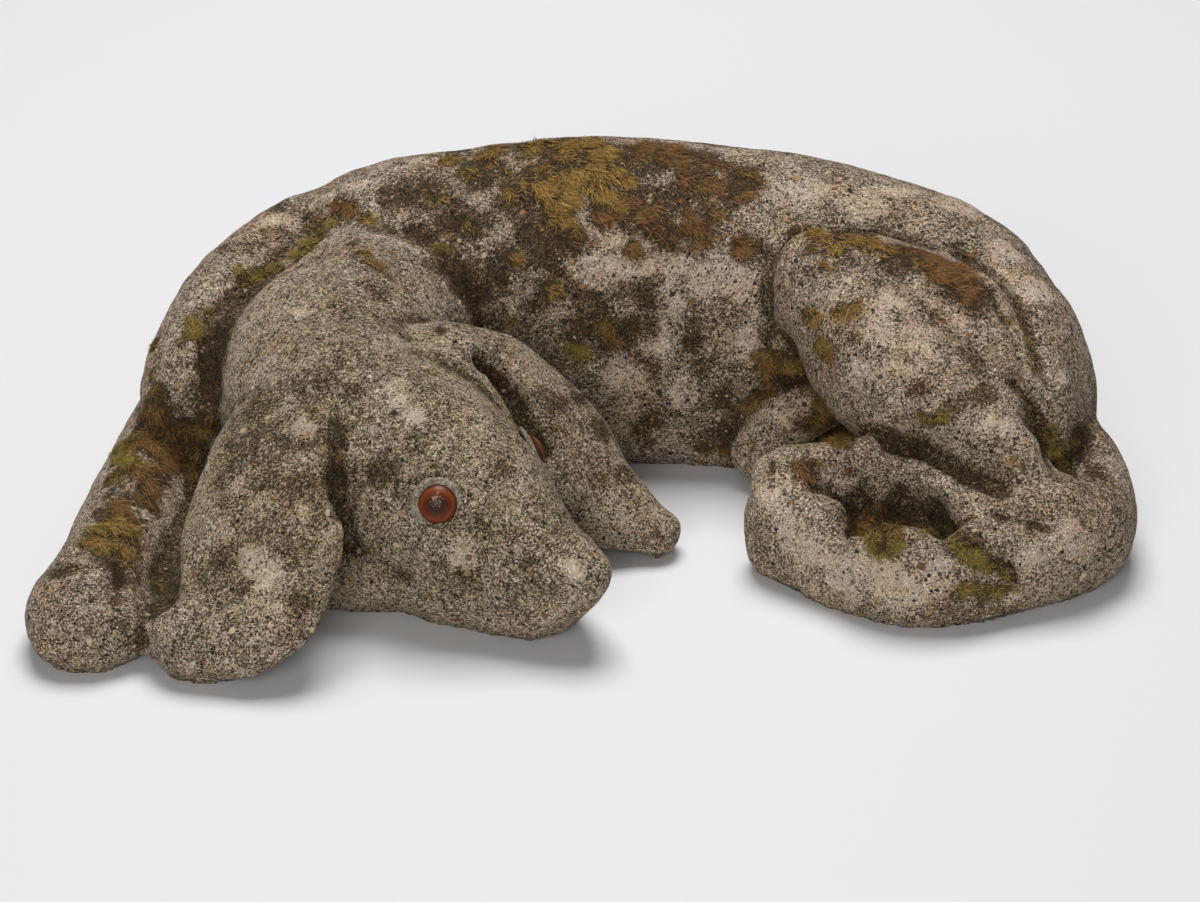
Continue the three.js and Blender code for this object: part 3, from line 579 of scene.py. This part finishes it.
def new_material(name, **values):
    """A material with a Principled shader whose plain values are set on its own sockets. Gives the
    material, its tree and the shader."""
    material = bpy.data.materials.new(name)
    material.use_nodes = True
    tree = material.node_tree
    shader = tree.nodes["Principled BSDF"]
    for key, value in values.items():
        shader.inputs[key.replace("_", " ")].default_value = value
    return material, tree, shader


def painted(tree, name):
    """The numbers that paint() stored on the piece."""
    return add(tree, "ShaderNodeAttribute", "Fac", {"attribute_name": name})


def object_place(tree):
    """Object coordinates, in metres."""
    return tree.nodes.new("ShaderNodeTexCoord").outputs["Object"]


# %% [markdown]
# Cast stone is sand and small stones in cement. Rain has washed the cement dark with algae, and lime
# stands on it in pale specks about a millimetre wide. Where there is much lime the stone looks cream, and
# where there is little it looks dark brown. So one number, the share of lime, decides at every point how
# many of the specks are pale: a fine random pattern is cut at a level that follows it. The pattern is
# Voronoi cells of two sizes plus noise. Larger stones and pits lie over it. The mortar round the eyes is
# of the same sand, so this is a node group.

# %% Sand, specks and grit group
def build_stone_group():
    """Colour and height of the stone at a place, for a share of lime from 0 to 1. The speck value is
    0.46 fine cell + 0.26 coarse cell + 0.5 noise. It is pale above a level, dark well below it."""
    tree, given, result = new_group("Cast stone", {"Place": "Vector", "Lime": "Float"},
                                    {"Color": "Color", "Height": "Float"})
    place = given["Place"]
    warp = add(tree, "ShaderNodeVectorMath", settings={"operation": "MULTIPLY_ADD"},
               i0=clouds(tree, place, 700, 2.0, output=1), i1=(0.0012,) * 3, i2=place)
    fine = three_numbers(tree, cells(tree, warp, 1900, "Color"))
    coarse = three_numbers(tree, cells(tree, warp, 950, "Color"))
    grain = clouds(tree, place, 2000, 3.0, 0.8)
    speck = 0.0
    for value, weight in ((fine[0], 0.46), (coarse[0], 0.26), (grain, 0.5)):
        speck = calc(tree, "ADD", calc(tree, "MULTIPLY", value, weight), speck)
    level = span(tree, given["Lime"], 0.0, 1.0, 0.98, 0.28)
    above = calc(tree, "SUBTRACT", speck, level)
    dark = ramp(tree, fine[1], [(0.0, (0.012, 0.008, 0.005)), (0.35, (0.045, 0.031, 0.018)),
                                (0.7, (0.11, 0.077, 0.046)), (0.95, (0.20, 0.142, 0.088))])
    sand = ramp(tree, fine[1], [(0.0, (0.115, 0.082, 0.049)), (0.5, (0.25, 0.185, 0.116)),
                                (0.9, (0.36, 0.275, 0.18))])
    pale = ramp(tree, fine[2], [(0.0, (0.44, 0.345, 0.245)), (0.4, (0.72, 0.58, 0.45)),
                                (0.75, (0.66, 0.50, 0.38)), (0.95, (1.0, 0.90, 0.76))])
    colour = blend(tree, span(tree, above, -0.24, -0.10), dark, sand)
    colour = blend(tree, span(tree, above, -0.02, 0.03), colour, pale)
    height = span(tree, above, -0.25, 0.1)

    # Stones of 1 to 4 mm: only some cells hold one, each with a round edge and its own colour.
    for scale, share, radius, raised, stops in (
        (430, 0.68, 0.42, 1.2, [(0.0, (0.045, 0.036, 0.028)), (0.2, (0.20, 0.140, 0.085)),
                                (0.45, (0.50, 0.38, 0.25)), (0.72, (0.78, 0.68, 0.53)),
                                (0.90, (0.42, 0.21, 0.08))]),
        (190, 0.68, 0.34, 1.7, [(0.0, (0.13, 0.095, 0.07)), (0.18, (0.46, 0.31, 0.16)),
                                (0.42, (0.30, 0.15, 0.07)), (0.58, (0.22, 0.10, 0.05)),
                                (0.70, (0.05, 0.048, 0.046)), (0.80, (0.75, 0.62, 0.44))]),
    ):
        random = three_numbers(tree, cells(tree, warp, scale, "Color"))
        here = calc(tree, "GREATER_THAN", random[1], share)
        limit = span(tree, random[2], 0, 1, 0.4 * radius, radius)
        inside = calc(tree, "SUBTRACT", limit, cells(tree, warp, scale))
        stone = calc(tree, "MULTIPLY", span(tree, inside, 0.0, 0.06), here)
        colour = blend(tree, stone, colour, ramp(tree, random[0], stops, "CONSTANT"))
        height = add(tree, "ShaderNodeMix", Factor=stone, A=height, B=raised)

    # Pits: small holes, lowered in height and coloured near black as painted shade inside them.
    for scale, share, size in ((560, 0.70, 0.27), (210, 0.86, 0.22)):
        random = three_numbers(tree, cells(tree, place, scale, "Color"))
        pit = span(tree, calc(tree, "SUBTRACT", size, cells(tree, place, scale)), 0.0, 0.09)
        pit = calc(tree, "MULTIPLY", pit, calc(tree, "GREATER_THAN", random[0], share))
        colour = blend(tree, calc(tree, "MULTIPLY", pit, 0.9), colour, (0.012, 0.009, 0.006))
        height = calc(tree, "SUBTRACT", height, calc(tree, "MULTIPLY", pit, 1.4))
    relief = calc(tree, "MULTIPLY", clouds(tree, place, 600, 6.0, 0.8), 1.7)
    height = calc(tree, "ADD", height, relief)
    tree.links.new(colour, result["Color"])
    tree.links.new(height, result["Height"])
    return tree


stone_group = build_stone_group()


def build_fray_group():
    """Breaks a smooth mask into ragged specks: noise is added to it, and the sum is cut at a level."""
    tree, given, result = new_group("Frayed patch", {"Mask": "Float", "Place": "Vector", "Scale": "Float",
                                                     "Fray": "Float"}, {"Mask": "Float"})
    grain = add(tree, "ShaderNodeTexNoise", Vector=given["Place"], Scale=given["Scale"], Detail=7.0,
                Roughness=0.75)
    signed = calc(tree, "MULTIPLY", calc(tree, "SUBTRACT", grain, 0.5), given["Fray"])
    tree.links.new(span(tree, calc(tree, "ADD", given["Mask"], signed), 0.15, 0.80), result["Mask"])
    return tree


fray_group = build_fray_group()
print("groups", stone_group.name, "and", fray_group.name)

# %% [markdown]
# The stone's own look is that group with a share of lime that changes over the dog: broad and middling
# noise, more on the patches of lime, less where algae and moss have stained it and in the hollows, which
# are darker from dirt and painted shade. Thin tints follow: olive algae on the head and low down, brown
# under the moss, dirt and painted shade in the hollows, pale green lichen.

# %% Weathered concrete material
BASE_LIME = 0.485
# How much each kind of noise, patch or hollow adds to the share of lime
LIME_WEIGHTS = {"broad": 0.55, "middling": 0.62, "narrow": 0.45, "bloom": 0.36, "crust": 0.35,
                "stain": -0.36, "dirt_and_shade": -0.24, "under_moss": -0.4}
ALGAE_TINT, RUST_TINT = (0.82, 0.83, 0.64), (1.0, 0.80, 0.60)
# The hollows' tint is dirt and painted shade.
STAIN_TINT, DIRT_AND_SHADE_TINT = (0.58, 0.48, 0.37), (0.42, 0.36, 0.26)
CRUST_COLOUR = (0.52, 0.51, 0.42)


def build_concrete():
    """The stone group with a changing share of lime, then tints, crust and the felt under the moss."""
    material, tree, shader = new_material("weathered_concrete", Roughness=0.95, Specular_IOR_Level=0.2)
    place = object_place(tree)

    def frayed(mask, strength, scale, fray):
        """A mask times a strength, with its rim broken up by the fray group."""
        mask = calc(tree, "MULTIPLY", mask, strength)
        return use_group(tree, fray_group, Mask=mask, Place=place, Scale=scale, Fray=fray)["Mask"]

    shares = {}
    for name, scale, detail in (("broad", 26, 4.0), ("middling", 110, 6.0), ("narrow", 330, 4.0)):
        shares[name] = calc(tree, "SUBTRACT", clouds(tree, place, scale, detail, 0.68), 0.5)
    shares["bloom"] = frayed(painted(tree, "lime"), 0.75, 90, 1.5)
    shares["crust"] = frayed(painted(tree, "lichen"), 0.62, 260, 2.2)
    # Where algae grows, stain shows about half as much.
    shares["stain"] = calc(tree, "MULTIPLY", frayed(painted(tree, "stain"), 0.75, 90, 1.5),
                           span(tree, painted(tree, "algae"), 0.3, 1, 1, 0.55))
    # Hollows: darker from dirt, and from painted shade in the creases.
    shares["dirt_and_shade"] = span(tree, painted(tree, "hollow"), 0.02, 0.6)
    moss = painted(tree, "gold_moss")
    for name in ("brown_moss", "dark_moss", "green_moss"):
        moss = calc(tree, "MAXIMUM", moss, painted(tree, name))
    shares["under_moss"] = frayed(moss, 0.8, 240, 1.9)

    lime = BASE_LIME
    for name, weight in LIME_WEIGHTS.items():
        lime = calc(tree, "ADD", calc(tree, "MULTIPLY", shares[name], weight), lime)
    stone = use_group(tree, stone_group, Place=place, Lime=lime)
    colour = stone["Color"]
    algae = span(tree, clouds(tree, place, 60, 5.0), 0.35, 0.62)
    algae = calc(tree, "MULTIPLY", algae, painted(tree, "algae"))
    rust = calc(tree, "SUBTRACT", span(tree, clouds(tree, place, 38, 5.0), 0.42, 0.62), algae)
    # The last tint darkens the hollows: dirt and painted shade.
    for share, tint in ((calc(tree, "MULTIPLY", algae, 0.75), ALGAE_TINT),
                        (span(tree, rust, 0, 1, 0, 0.45), RUST_TINT),
                        (calc(tree, "MULTIPLY", shares["stain"], 0.7), STAIN_TINT),
                        (calc(tree, "MULTIPLY", shares["dirt_and_shade"], 0.75), DIRT_AND_SHADE_TINT)):
        colour = blend(tree, share, colour, tint, "MULTIPLY")
    colour = blend(tree, calc(tree, "MULTIPLY", shares["crust"], 0.22), colour, CRUST_COLOUR)
    felt = ramp(tree, clouds(tree, place, 800, 3.0),
                [(0.3, (0.028, 0.017, 0.008)), (0.7, (0.10, 0.062, 0.024))])
    colour = blend(tree, calc(tree, "MULTIPLY", shares["under_moss"], 0.9), colour, felt)
    tree.links.new(colour, shader.inputs["Base Color"])
    tree.links.new(add(tree, "ShaderNodeBump", "Normal", Height=stone["Height"], Strength=1.0,
                       Distance=1 * MM), shader.inputs["Normal"])
    return material


concrete = build_concrete()

# %% The stone skin piece
dog = new_piece("spaniel_stone_skin", skin_points, skin_faces, concrete)
for mask_name, mask in masks.items():
    paint(dog, mask_name, mask)
paint(dog, "hollow", hollow)
# Algae likes the head, the ears and what is near the damp ground.
HEAD_PLACE = in_metres((-84, -50, 56))
near_head = 1 - soft_step(0.07, 0.13, np.linalg.norm(skin_points - HEAD_PLACE, axis=1))
near_ground = 1 - soft_step(0.0, 0.035, skin_points[:, 2])
paint(dog, "algae", np.clip(0.9 * near_head + 0.5 * near_ground + 0.15, 0, 1))
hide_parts("stone_dog")
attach(dog, "root")
print("skin of", 2 * len(skin_faces), "triangles")

# %% [markdown]
# Moss is thousands of tiny shoots. On this dog they are thin threads, half a centimetre long, that lie
# over one another like combed hair, with neighbours heading the same way. A shoot here is a strip of
# three lengths that bends down and curls to one side. All shoots of a mat are worked out as arrays and go
# into one mesh. They root where the mask is strong, in tufts, and get sparse towards the patch's rim.

# %% Shoots of moss
def heading_field(points, size, seed):
    """A direction at each point that changes slowly from place to place: three noises as x, y and z."""
    return np.stack([noise(points, size, seed + 5 * axis, 2) for axis in range(3)], 1)


TUFT_SIZE = 5.5 * MM
COMB_SIZE = 16 * MM  # how far apart shoots head different ways
STRAY = 0.35  # each shoot's own part of its heading


def blade_mat(name, mask, count, length, width, lean, seed, comb, material):
    """One mesh of bent shoots. Roots: random places on the skin's squares, where a square is drawn with
    a chance of area times mask times tuft. A shoot's heading is the noise field plus the comb plus its
    own random part. Each of its three lengths goes along the heading, turned by its curl, plus a rise
    along the normal that gets smaller. Its seven points are three pairs and a tip."""
    draw = np.random.default_rng(seed)
    across = face_normals(skin_points, skin_faces)
    area = np.linalg.norm(across, axis=1)
    cover = mask[skin_faces].mean(1)
    tufts = 0.03 + 0.97 * soft_step(-0.1, 0.45, noise(skin_points[skin_faces[:, 0]], TUFT_SIZE, seed, 3))
    chance = area * np.clip(cover - 0.04, 0, 1) ** 1.3 * tufts
    chosen = draw.choice(len(skin_faces), count, p=chance / chance.sum())
    u, v = draw.random((2, count, 1))
    a, b, c, d = (skin_points[skin_faces[chosen, k]] for k in range(4))
    root = (a * (1 - u) + b * u) * (1 - v) + (d * (1 - u) + c * u) * v
    up = across[chosen] / area[chosen, None]
    heading = 1.1 * heading_field(root, COMB_SIZE, seed) + np.array(comb)
    heading += STRAY * draw.normal(size=(count, 3))
    heading -= np.sum(heading * up, 1, keepdims=True) * up
    heading /= np.maximum(np.linalg.norm(heading, axis=1, keepdims=True), 1e-9)
    side = np.cross(up, heading)
    long = length * MM * (0.45 + 0.9 * draw.random((count, 1))) * (0.6 + 0.4 * cover[chosen, None])
    half = 0.5 * width * MM * (0.6 + 0.8 * draw.random((count, 1)))
    rise = (1 - lean) * (0.5 + draw.random((count, 1)))
    curl = draw.normal(size=(count, 1)) * 0.5
    place = root - 0.3 * MM * up
    rows = []
    for step, (wide, steep) in enumerate(((1.0, 1.0), (0.9, 0.4), (0.6, -0.15))):
        rows += [place - side * half * wide, place + side * half * wide]
        way = heading * np.cos(curl * step) + side * np.sin(curl * step) + up * rise * steep * 2
        place = place + way * long / 3
    points = np.stack([*rows, place], 1).reshape(-1, 3)
    points[:, 2] = np.maximum(points[:, 2], 0)
    start = 7 * np.arange(count)[:, None]
    strip = np.array([[0, 1, 3], [0, 3, 2], [2, 3, 5], [2, 5, 4], [4, 5, 6]])
    faces = (start[:, None] + strip).reshape(-1, 3)
    mat = new_piece(name, points, faces, material)
    paint(mat, "tip", np.tile([0, 0, 0.4, 0.4, 0.75, 0.75, 1.0], count))
    paint(mat, "shade", np.repeat(draw.random(count), 7))
    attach(mat, "root")
    print(name, len(faces), "triangles")


# %% [markdown]
# A moss mat is never one colour. Dry shoots are straw or rust, living ones are yellow-green, old ones
# nearly black, and their feet are dark. One group mixes three colours by a random number for each shoot,
# by broad patches and by the way up the shoot, and each moss gives it its own colours.

# %% Moss material
def build_moss_group():
    """Colour of a shoot: dark at its foot, and between its dry and living colours by patches and by
    its own random number, times a brightness from 0.2 to 1.75 by another mix of that number."""
    tree, given, result = new_group(
        "Moss colour", {"Place": "Vector", "Tip": "Float", "Shade": "Float", "Foot": "Color",
                        "Dry": "Color", "Living": "Color"}, {"Color": "Color"})
    patches = clouds(tree, given["Place"], 95, 4.0)
    own = calc(tree, "MULTIPLY", given["Shade"], 0.5)
    choice = calc(tree, "ADD", calc(tree, "MULTIPLY", patches, 1.3), own)
    blade = blend(tree, span(tree, choice, 0.65, 1.15), given["Dry"], given["Living"])
    bright = span(tree, calc(tree, "FRACT", calc(tree, "MULTIPLY", given["Shade"], 7.0)), 0, 1, 0.2, 1.75)
    blade = blend(tree, 1.0, blade, add(tree, "ShaderNodeCombineXYZ", X=bright, Y=bright, Z=bright),
                  "MULTIPLY")
    rise = calc(tree, "POWER", given["Tip"], 0.8)
    tree.links.new(blend(tree, rise, given["Foot"], blade), result["Color"])
    return tree


moss_group = build_moss_group()


def moss_material(name, foot, dry, living):
    """A moss of three colours, quite matt."""
    material, tree, shader = new_material(name, Roughness=0.9, Specular_IOR_Level=0.15)
    colour = use_group(tree, moss_group, Place=object_place(tree), Tip=painted(tree, "tip"),
                       Shade=painted(tree, "shade"), Foot=(*foot, 1), Dry=(*dry, 1), Living=(*living, 1))
    tree.links.new(colour["Color"], shader.inputs["Base Color"])
    return material


# Each moss: its name and its mask's, the number of shoots, their length and width in millimetres, how far
# they lie down, the seed, the way they are combed, and its foot, dry and living colours.
MOSSES = [
    ("golden_moss", "gold_moss", 15000, 6.0, 0.34, 0.8, 11, (0.6, -0.6, -0.2),
     ((0.045, 0.024, 0.01), (0.42, 0.24, 0.068), (0.32, 0.21, 0.056))),
    ("brown_moss", "brown_moss", 14000, 5.4, 0.34, 0.8, 12, (0.6, -0.5, -0.3),
     ((0.03, 0.014, 0.007), (0.24, 0.108, 0.042), (0.27, 0.16, 0.055))),
    ("dark_moss", "dark_moss", 11000, 4.6, 0.34, 0.72, 13, (0.0, -0.3, -0.5),
     ((0.012, 0.007, 0.003), (0.2, 0.105, 0.036), (0.27, 0.17, 0.048))),
    ("green_moss", "green_moss", 10000, 4.0, 0.32, 0.74, 14, (0, 0, 0),
     ((0.035, 0.025, 0.009), (0.31, 0.195, 0.058), (0.28, 0.235, 0.05))),
]
moss_materials = {name: moss_material(name, *colours) for name, *_, colours in MOSSES}

# %% Moss mats
for name, mask_name, *numbers, _ in MOSSES:
    blade_mat(name + "_threads", masks[mask_name], *numbers, moss_materials[name])

# %% [markdown]
# The eyes are domed glass, brown with a dark pupil behind, dull with years of dust. The dome is part of a
# sphere over a flat back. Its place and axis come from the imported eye: its flat back is the lowest layer
# of points along the axis on which the points spread least.

# %% Glass eyes
EYE_BACK_DEPTH = 4.0 * MM
EYE_DOME_HEIGHT = 5.0 * MM


def eye_frame(node):
    """The middle of the eye's round edge, its radius and three axes, the last pointing out."""
    points = read_points(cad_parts[node].data)
    centre = points.mean(0)
    axes = np.linalg.svd(points - centre, full_matrices=False)[2][::-1]
    look = axes[0] * np.sign(axes[0] @ (centre - HEAD_PLACE - np.array([0, 0, -0.01])))
    along = points @ look
    back = points[along < along.min() + 0.1 * MM]
    centre = (back.max(0) + back.min(0)) / 2 + look * EYE_BACK_DEPTH
    centre = centre + look * (along.min() + EYE_BACK_DEPTH - centre @ look)
    radius = np.linalg.norm(back - back.mean(0), axis=1).max()
    side = np.cross((0, 0, 1), look)
    side /= np.linalg.norm(side)
    return centre, radius, side, np.cross(look, side), look


def turned(profile, steps, centre, side, upward, look):
    """A profile of (radius, height, painted number) carried round the axis look: the point at angle a is
    centre + radius (side cos a + upward sin a) + height look. The first and last rows close on the
    axis in one point each. Gives points, triangles and the painted number."""
    profile = np.asarray(profile, float)
    angle = np.linspace(0, 2 * math.pi, steps, endpoint=False)
    ring = np.cos(angle)[:, None] * side + np.sin(angle)[:, None] * upward
    body = profile[1:-1]
    rows = centre + body[:, None, :1] * ring + body[:, None, 1:2] * look
    ends = centre + profile[[0, -1], 1:2] * look
    points = np.vstack([ends, rows.reshape(-1, 3)])
    number = np.concatenate([profile[[0, -1], 2], np.repeat(body[:, 2], steps)])
    here = 2 + np.arange(len(body))[:, None] * steps + np.arange(steps)
    after = np.roll(here, -1, axis=1)
    quads = [(here[:-1], here[1:], after[1:]), (here[:-1], after[1:], after[:-1])]
    faces = [np.stack([a.ravel(), b.ravel(), c.ravel()], 1) for a, b, c in quads]
    faces.append(np.stack([np.zeros(steps, int), here[0], after[0]], 1))
    faces.append(np.stack([np.ones(steps, int), after[-1], here[-1]], 1))
    return points, np.vstack(faces), number


def build_eye_glass():
    """Amber glass over a dark pupil: the colour follows the distance from the axis. Pale flecks of dust
    lie on it, thickest on the upper part, where they are a painted highlight too, and years outdoors have
    dulled the gloss."""
    material, tree, shader = new_material("dusty_brown_glass", Coat_Weight=0.05, Coat_Roughness=0.3,
                                          Specular_IOR_Level=0.15)
    place = object_place(tree)
    out = painted(tree, "from_axis")
    uneven = calc(tree, "MULTIPLY", calc(tree, "SUBTRACT", clouds(tree, place, 420), 0.5), 0.22)
    ragged = calc(tree, "ADD", out, uneven)
    iris = ramp(tree, ragged, [(0.0, (0.020, 0.008, 0.006)), (0.32, (0.032, 0.010, 0.006)),
                               (0.62, (0.10, 0.024, 0.007)), (0.82, (0.20, 0.046, 0.013)),
                               (0.95, (0.07, 0.022, 0.010))])
    # More pale flecks on the upper part: dust and a painted highlight.
    upper = calc(tree, "MULTIPLY", painted(tree, "highlight_and_dust"), 0.2)
    flecks = calc(tree, "ADD", clouds(tree, place, 1100, 5.0, 0.8), upper)
    dust_and_highlight = span(tree, flecks, 0.68, 0.76)
    colour = blend(tree, calc(tree, "MULTIPLY", dust_and_highlight, 0.8), iris, (0.50, 0.33, 0.24))
    tree.links.new(colour, shader.inputs["Base Color"])
    tree.links.new(span(tree, dust_and_highlight, 0, 1, 0.34, 0.8), shader.inputs["Roughness"])
    return material


eye_glass = build_eye_glass()


def build_eye(node, name, edge):
    """The dome's section is a circle through the rim and the top: radius of the sphere
    (r^2 + h^2) / 2h. It goes from the top down over the rim to the flat back. A larger edge widens the
    dark brown band at the rim, which is painted shade."""
    centre, radius, side, upward, look = eye_frame(node)
    ball = (radius**2 + EYE_DOME_HEIGHT**2) / (2 * EYE_DOME_HEIGHT)
    sweep = np.linspace(0, math.asin(radius / ball), 22)
    dome = [(ball * math.sin(a), ball * math.cos(a) - ball + EYE_DOME_HEIGHT, math.sin(a) * ball / radius)
            for a in sweep]
    back = [(radius, -EYE_BACK_DEPTH, 1.0), (0, -EYE_BACK_DEPTH, 1.0)]
    points, faces, number = turned(dome + back, 56, centre, side, upward, look)
    eye = new_piece(name, points, faces, eye_glass)
    paint(eye, "from_axis", number * edge)
    # Dust and a painted highlight gather round a point a third of the way from the dome's top to its upper
    # edge.
    away = np.linalg.norm(points - (centre + 0.33 * radius * upward + 4.6 * MM * look), axis=1)
    paint(eye, "highlight_and_dust", np.exp(-((away / (0.5 * radius)) ** 2)))
    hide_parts(node)
    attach(eye, "root")
    return centre, radius, side, upward, look


# The far (left) eye's larger edge darkens its rim as painted shade, as that eye lies under the brow.
EYES = {name: build_eye(node, name, edge) for node, name, edge in
        (("right_glass_eye", "right_eye_dome", 1.0), ("left_glass_eye", "left_eye_dome", 1.3))}
print("eyes", {name: [round(float(v), 4) for v in eye[0]] for name, eye in EYES.items()})

# %% [markdown]
# Each eye was bedded in a ring of mortar, pushed up against the glass by hand. It is a bent bead: a round
# section carried round the eye, with noise in its width and height, sunk into the skin outside.

# %% Mortar rings round the eyes
def build_mortar():
    """The same sand in a smoother grey-green cement."""
    material, tree, shader = new_material("eye_mortar", Roughness=0.95, Specular_IOR_Level=0.2)
    place = object_place(tree)
    sand = use_group(tree, stone_group, Place=place, Lime=0.55)
    colour = blend(tree, 0.6, sand["Color"], (0.155, 0.145, 0.105))
    tree.links.new(colour, shader.inputs["Base Color"])
    tree.links.new(add(tree, "ShaderNodeBump", "Normal", Height=sand["Height"], Strength=0.8,
                       Distance=0.4 * MM), shader.inputs["Normal"])
    return material


mortar = build_mortar()


def build_ring(name, centre, radius, side, upward, look, seed):
    """A closed tube: the point at angles a and b is the ring's point at a, moved out by width cos b and
    up by height sin b, both varied by noise."""
    steps, section = 72, 14
    a, b = np.meshgrid(np.linspace(0, 2 * math.pi, steps, endpoint=False),
                       np.linspace(0, 2 * math.pi, section, endpoint=False), indexing="ij")
    ring = np.cos(a)[..., None] * side + np.sin(a)[..., None] * upward
    wobble = noise((centre + ring * radius).reshape(-1, 3), 4.5 * MM, seed, 2).reshape(a.shape)
    wide = (1.8 + 0.6 * wobble) * MM
    high = (1.1 + 0.35 * wobble) * MM
    middle = radius + 1.25 * MM
    points = centre + (middle + wide * np.cos(b))[..., None] * ring
    points = points + (high * np.sin(b) - 0.1 * MM)[..., None] * look
    here = np.arange(steps * section).reshape(steps, section)
    right = np.roll(here, -1, axis=0)
    faces = np.stack([here, right, np.roll(right, -1, axis=1), np.roll(here, -1, axis=1)], -1)
    piece = new_piece(name, points.reshape(-1, 3), faces.reshape(-1, 4), mortar)
    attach(piece, "root")


for count, (eye_name, eye) in enumerate(EYES.items()):
    build_ring(eye_name.replace("dome", "mortar_ring"), *eye, seed=40 + count)
print("two mortar rings")

# %% [markdown]
# The studio: a pale sweep that runs out of sight, one large soft light above and behind it, and a weak
# one in front. The camera is a long lens that looks down 27 degrees on the middle of the dog.

# %% Floor, lights and world
def build_floor(half=4.0):
    """One square, half a side of which is given in metres."""
    material, _, _ = new_material("pale_sweep", Roughness=0.6, Base_Color=(0.68, 0.68, 0.69, 1))
    corners = [(-half, -half, 0), (half, -half, 0), (half, half, 0), (-half, half, 0)]
    new_piece("studio_floor", corners, [(0, 1, 2, 3)], material)


def soft_light(name, place, aim, size, power):
    """A square area light at a place, turned to face aim."""
    data = bpy.data.lights.new(name, "AREA")
    data.shape = "SQUARE"
    data.size = size
    data.energy = power
    light = bpy.data.objects.new(name, data)
    scene.collection.objects.link(light)
    look = np.asarray(aim, float) - np.asarray(place, float)
    look /= np.linalg.norm(look)
    light.location = place
    light.rotation_euler = (math.acos(-look[2]), 0, math.atan2(look[1], look[0]) - math.pi / 2)


build_floor()
soft_light("overhead", (-0.02, 0.80, 2.2), (0, 0, 0), 1.3, 59)
soft_light("front_fill", (-0.4, -2.1, 0.9), (0, 0, 0.05), 1.4, 30)
world = bpy.data.worlds.new("pale_studio")
world.use_nodes = True
sky = world.node_tree.nodes["Background"].inputs
sky["Color"].default_value = (0.93, 0.94, 0.96, 1)
sky["Strength"].default_value = 0.12
scene.world = world
scene.view_settings.view_transform = "Standard"

# %% Camera
CAMERA_ELEVATION = math.radians(27)
CAMERA_DISTANCE = 1500 * CARVING_UNIT
camera_data = bpy.data.cameras.new("camera")
camera_data.lens = 105
camera_data.sensor_width = 36
camera = bpy.data.objects.new("camera", camera_data)
scene.collection.objects.link(camera)
target = in_metres((0, 0, 40))
back = np.array([0, -math.cos(CAMERA_ELEVATION), math.sin(CAMERA_ELEVATION)])
camera.location = target + CAMERA_DISTANCE * back
camera.rotation_euler = (math.pi / 2 - CAMERA_ELEVATION, 0, 0)
scene.camera = camera
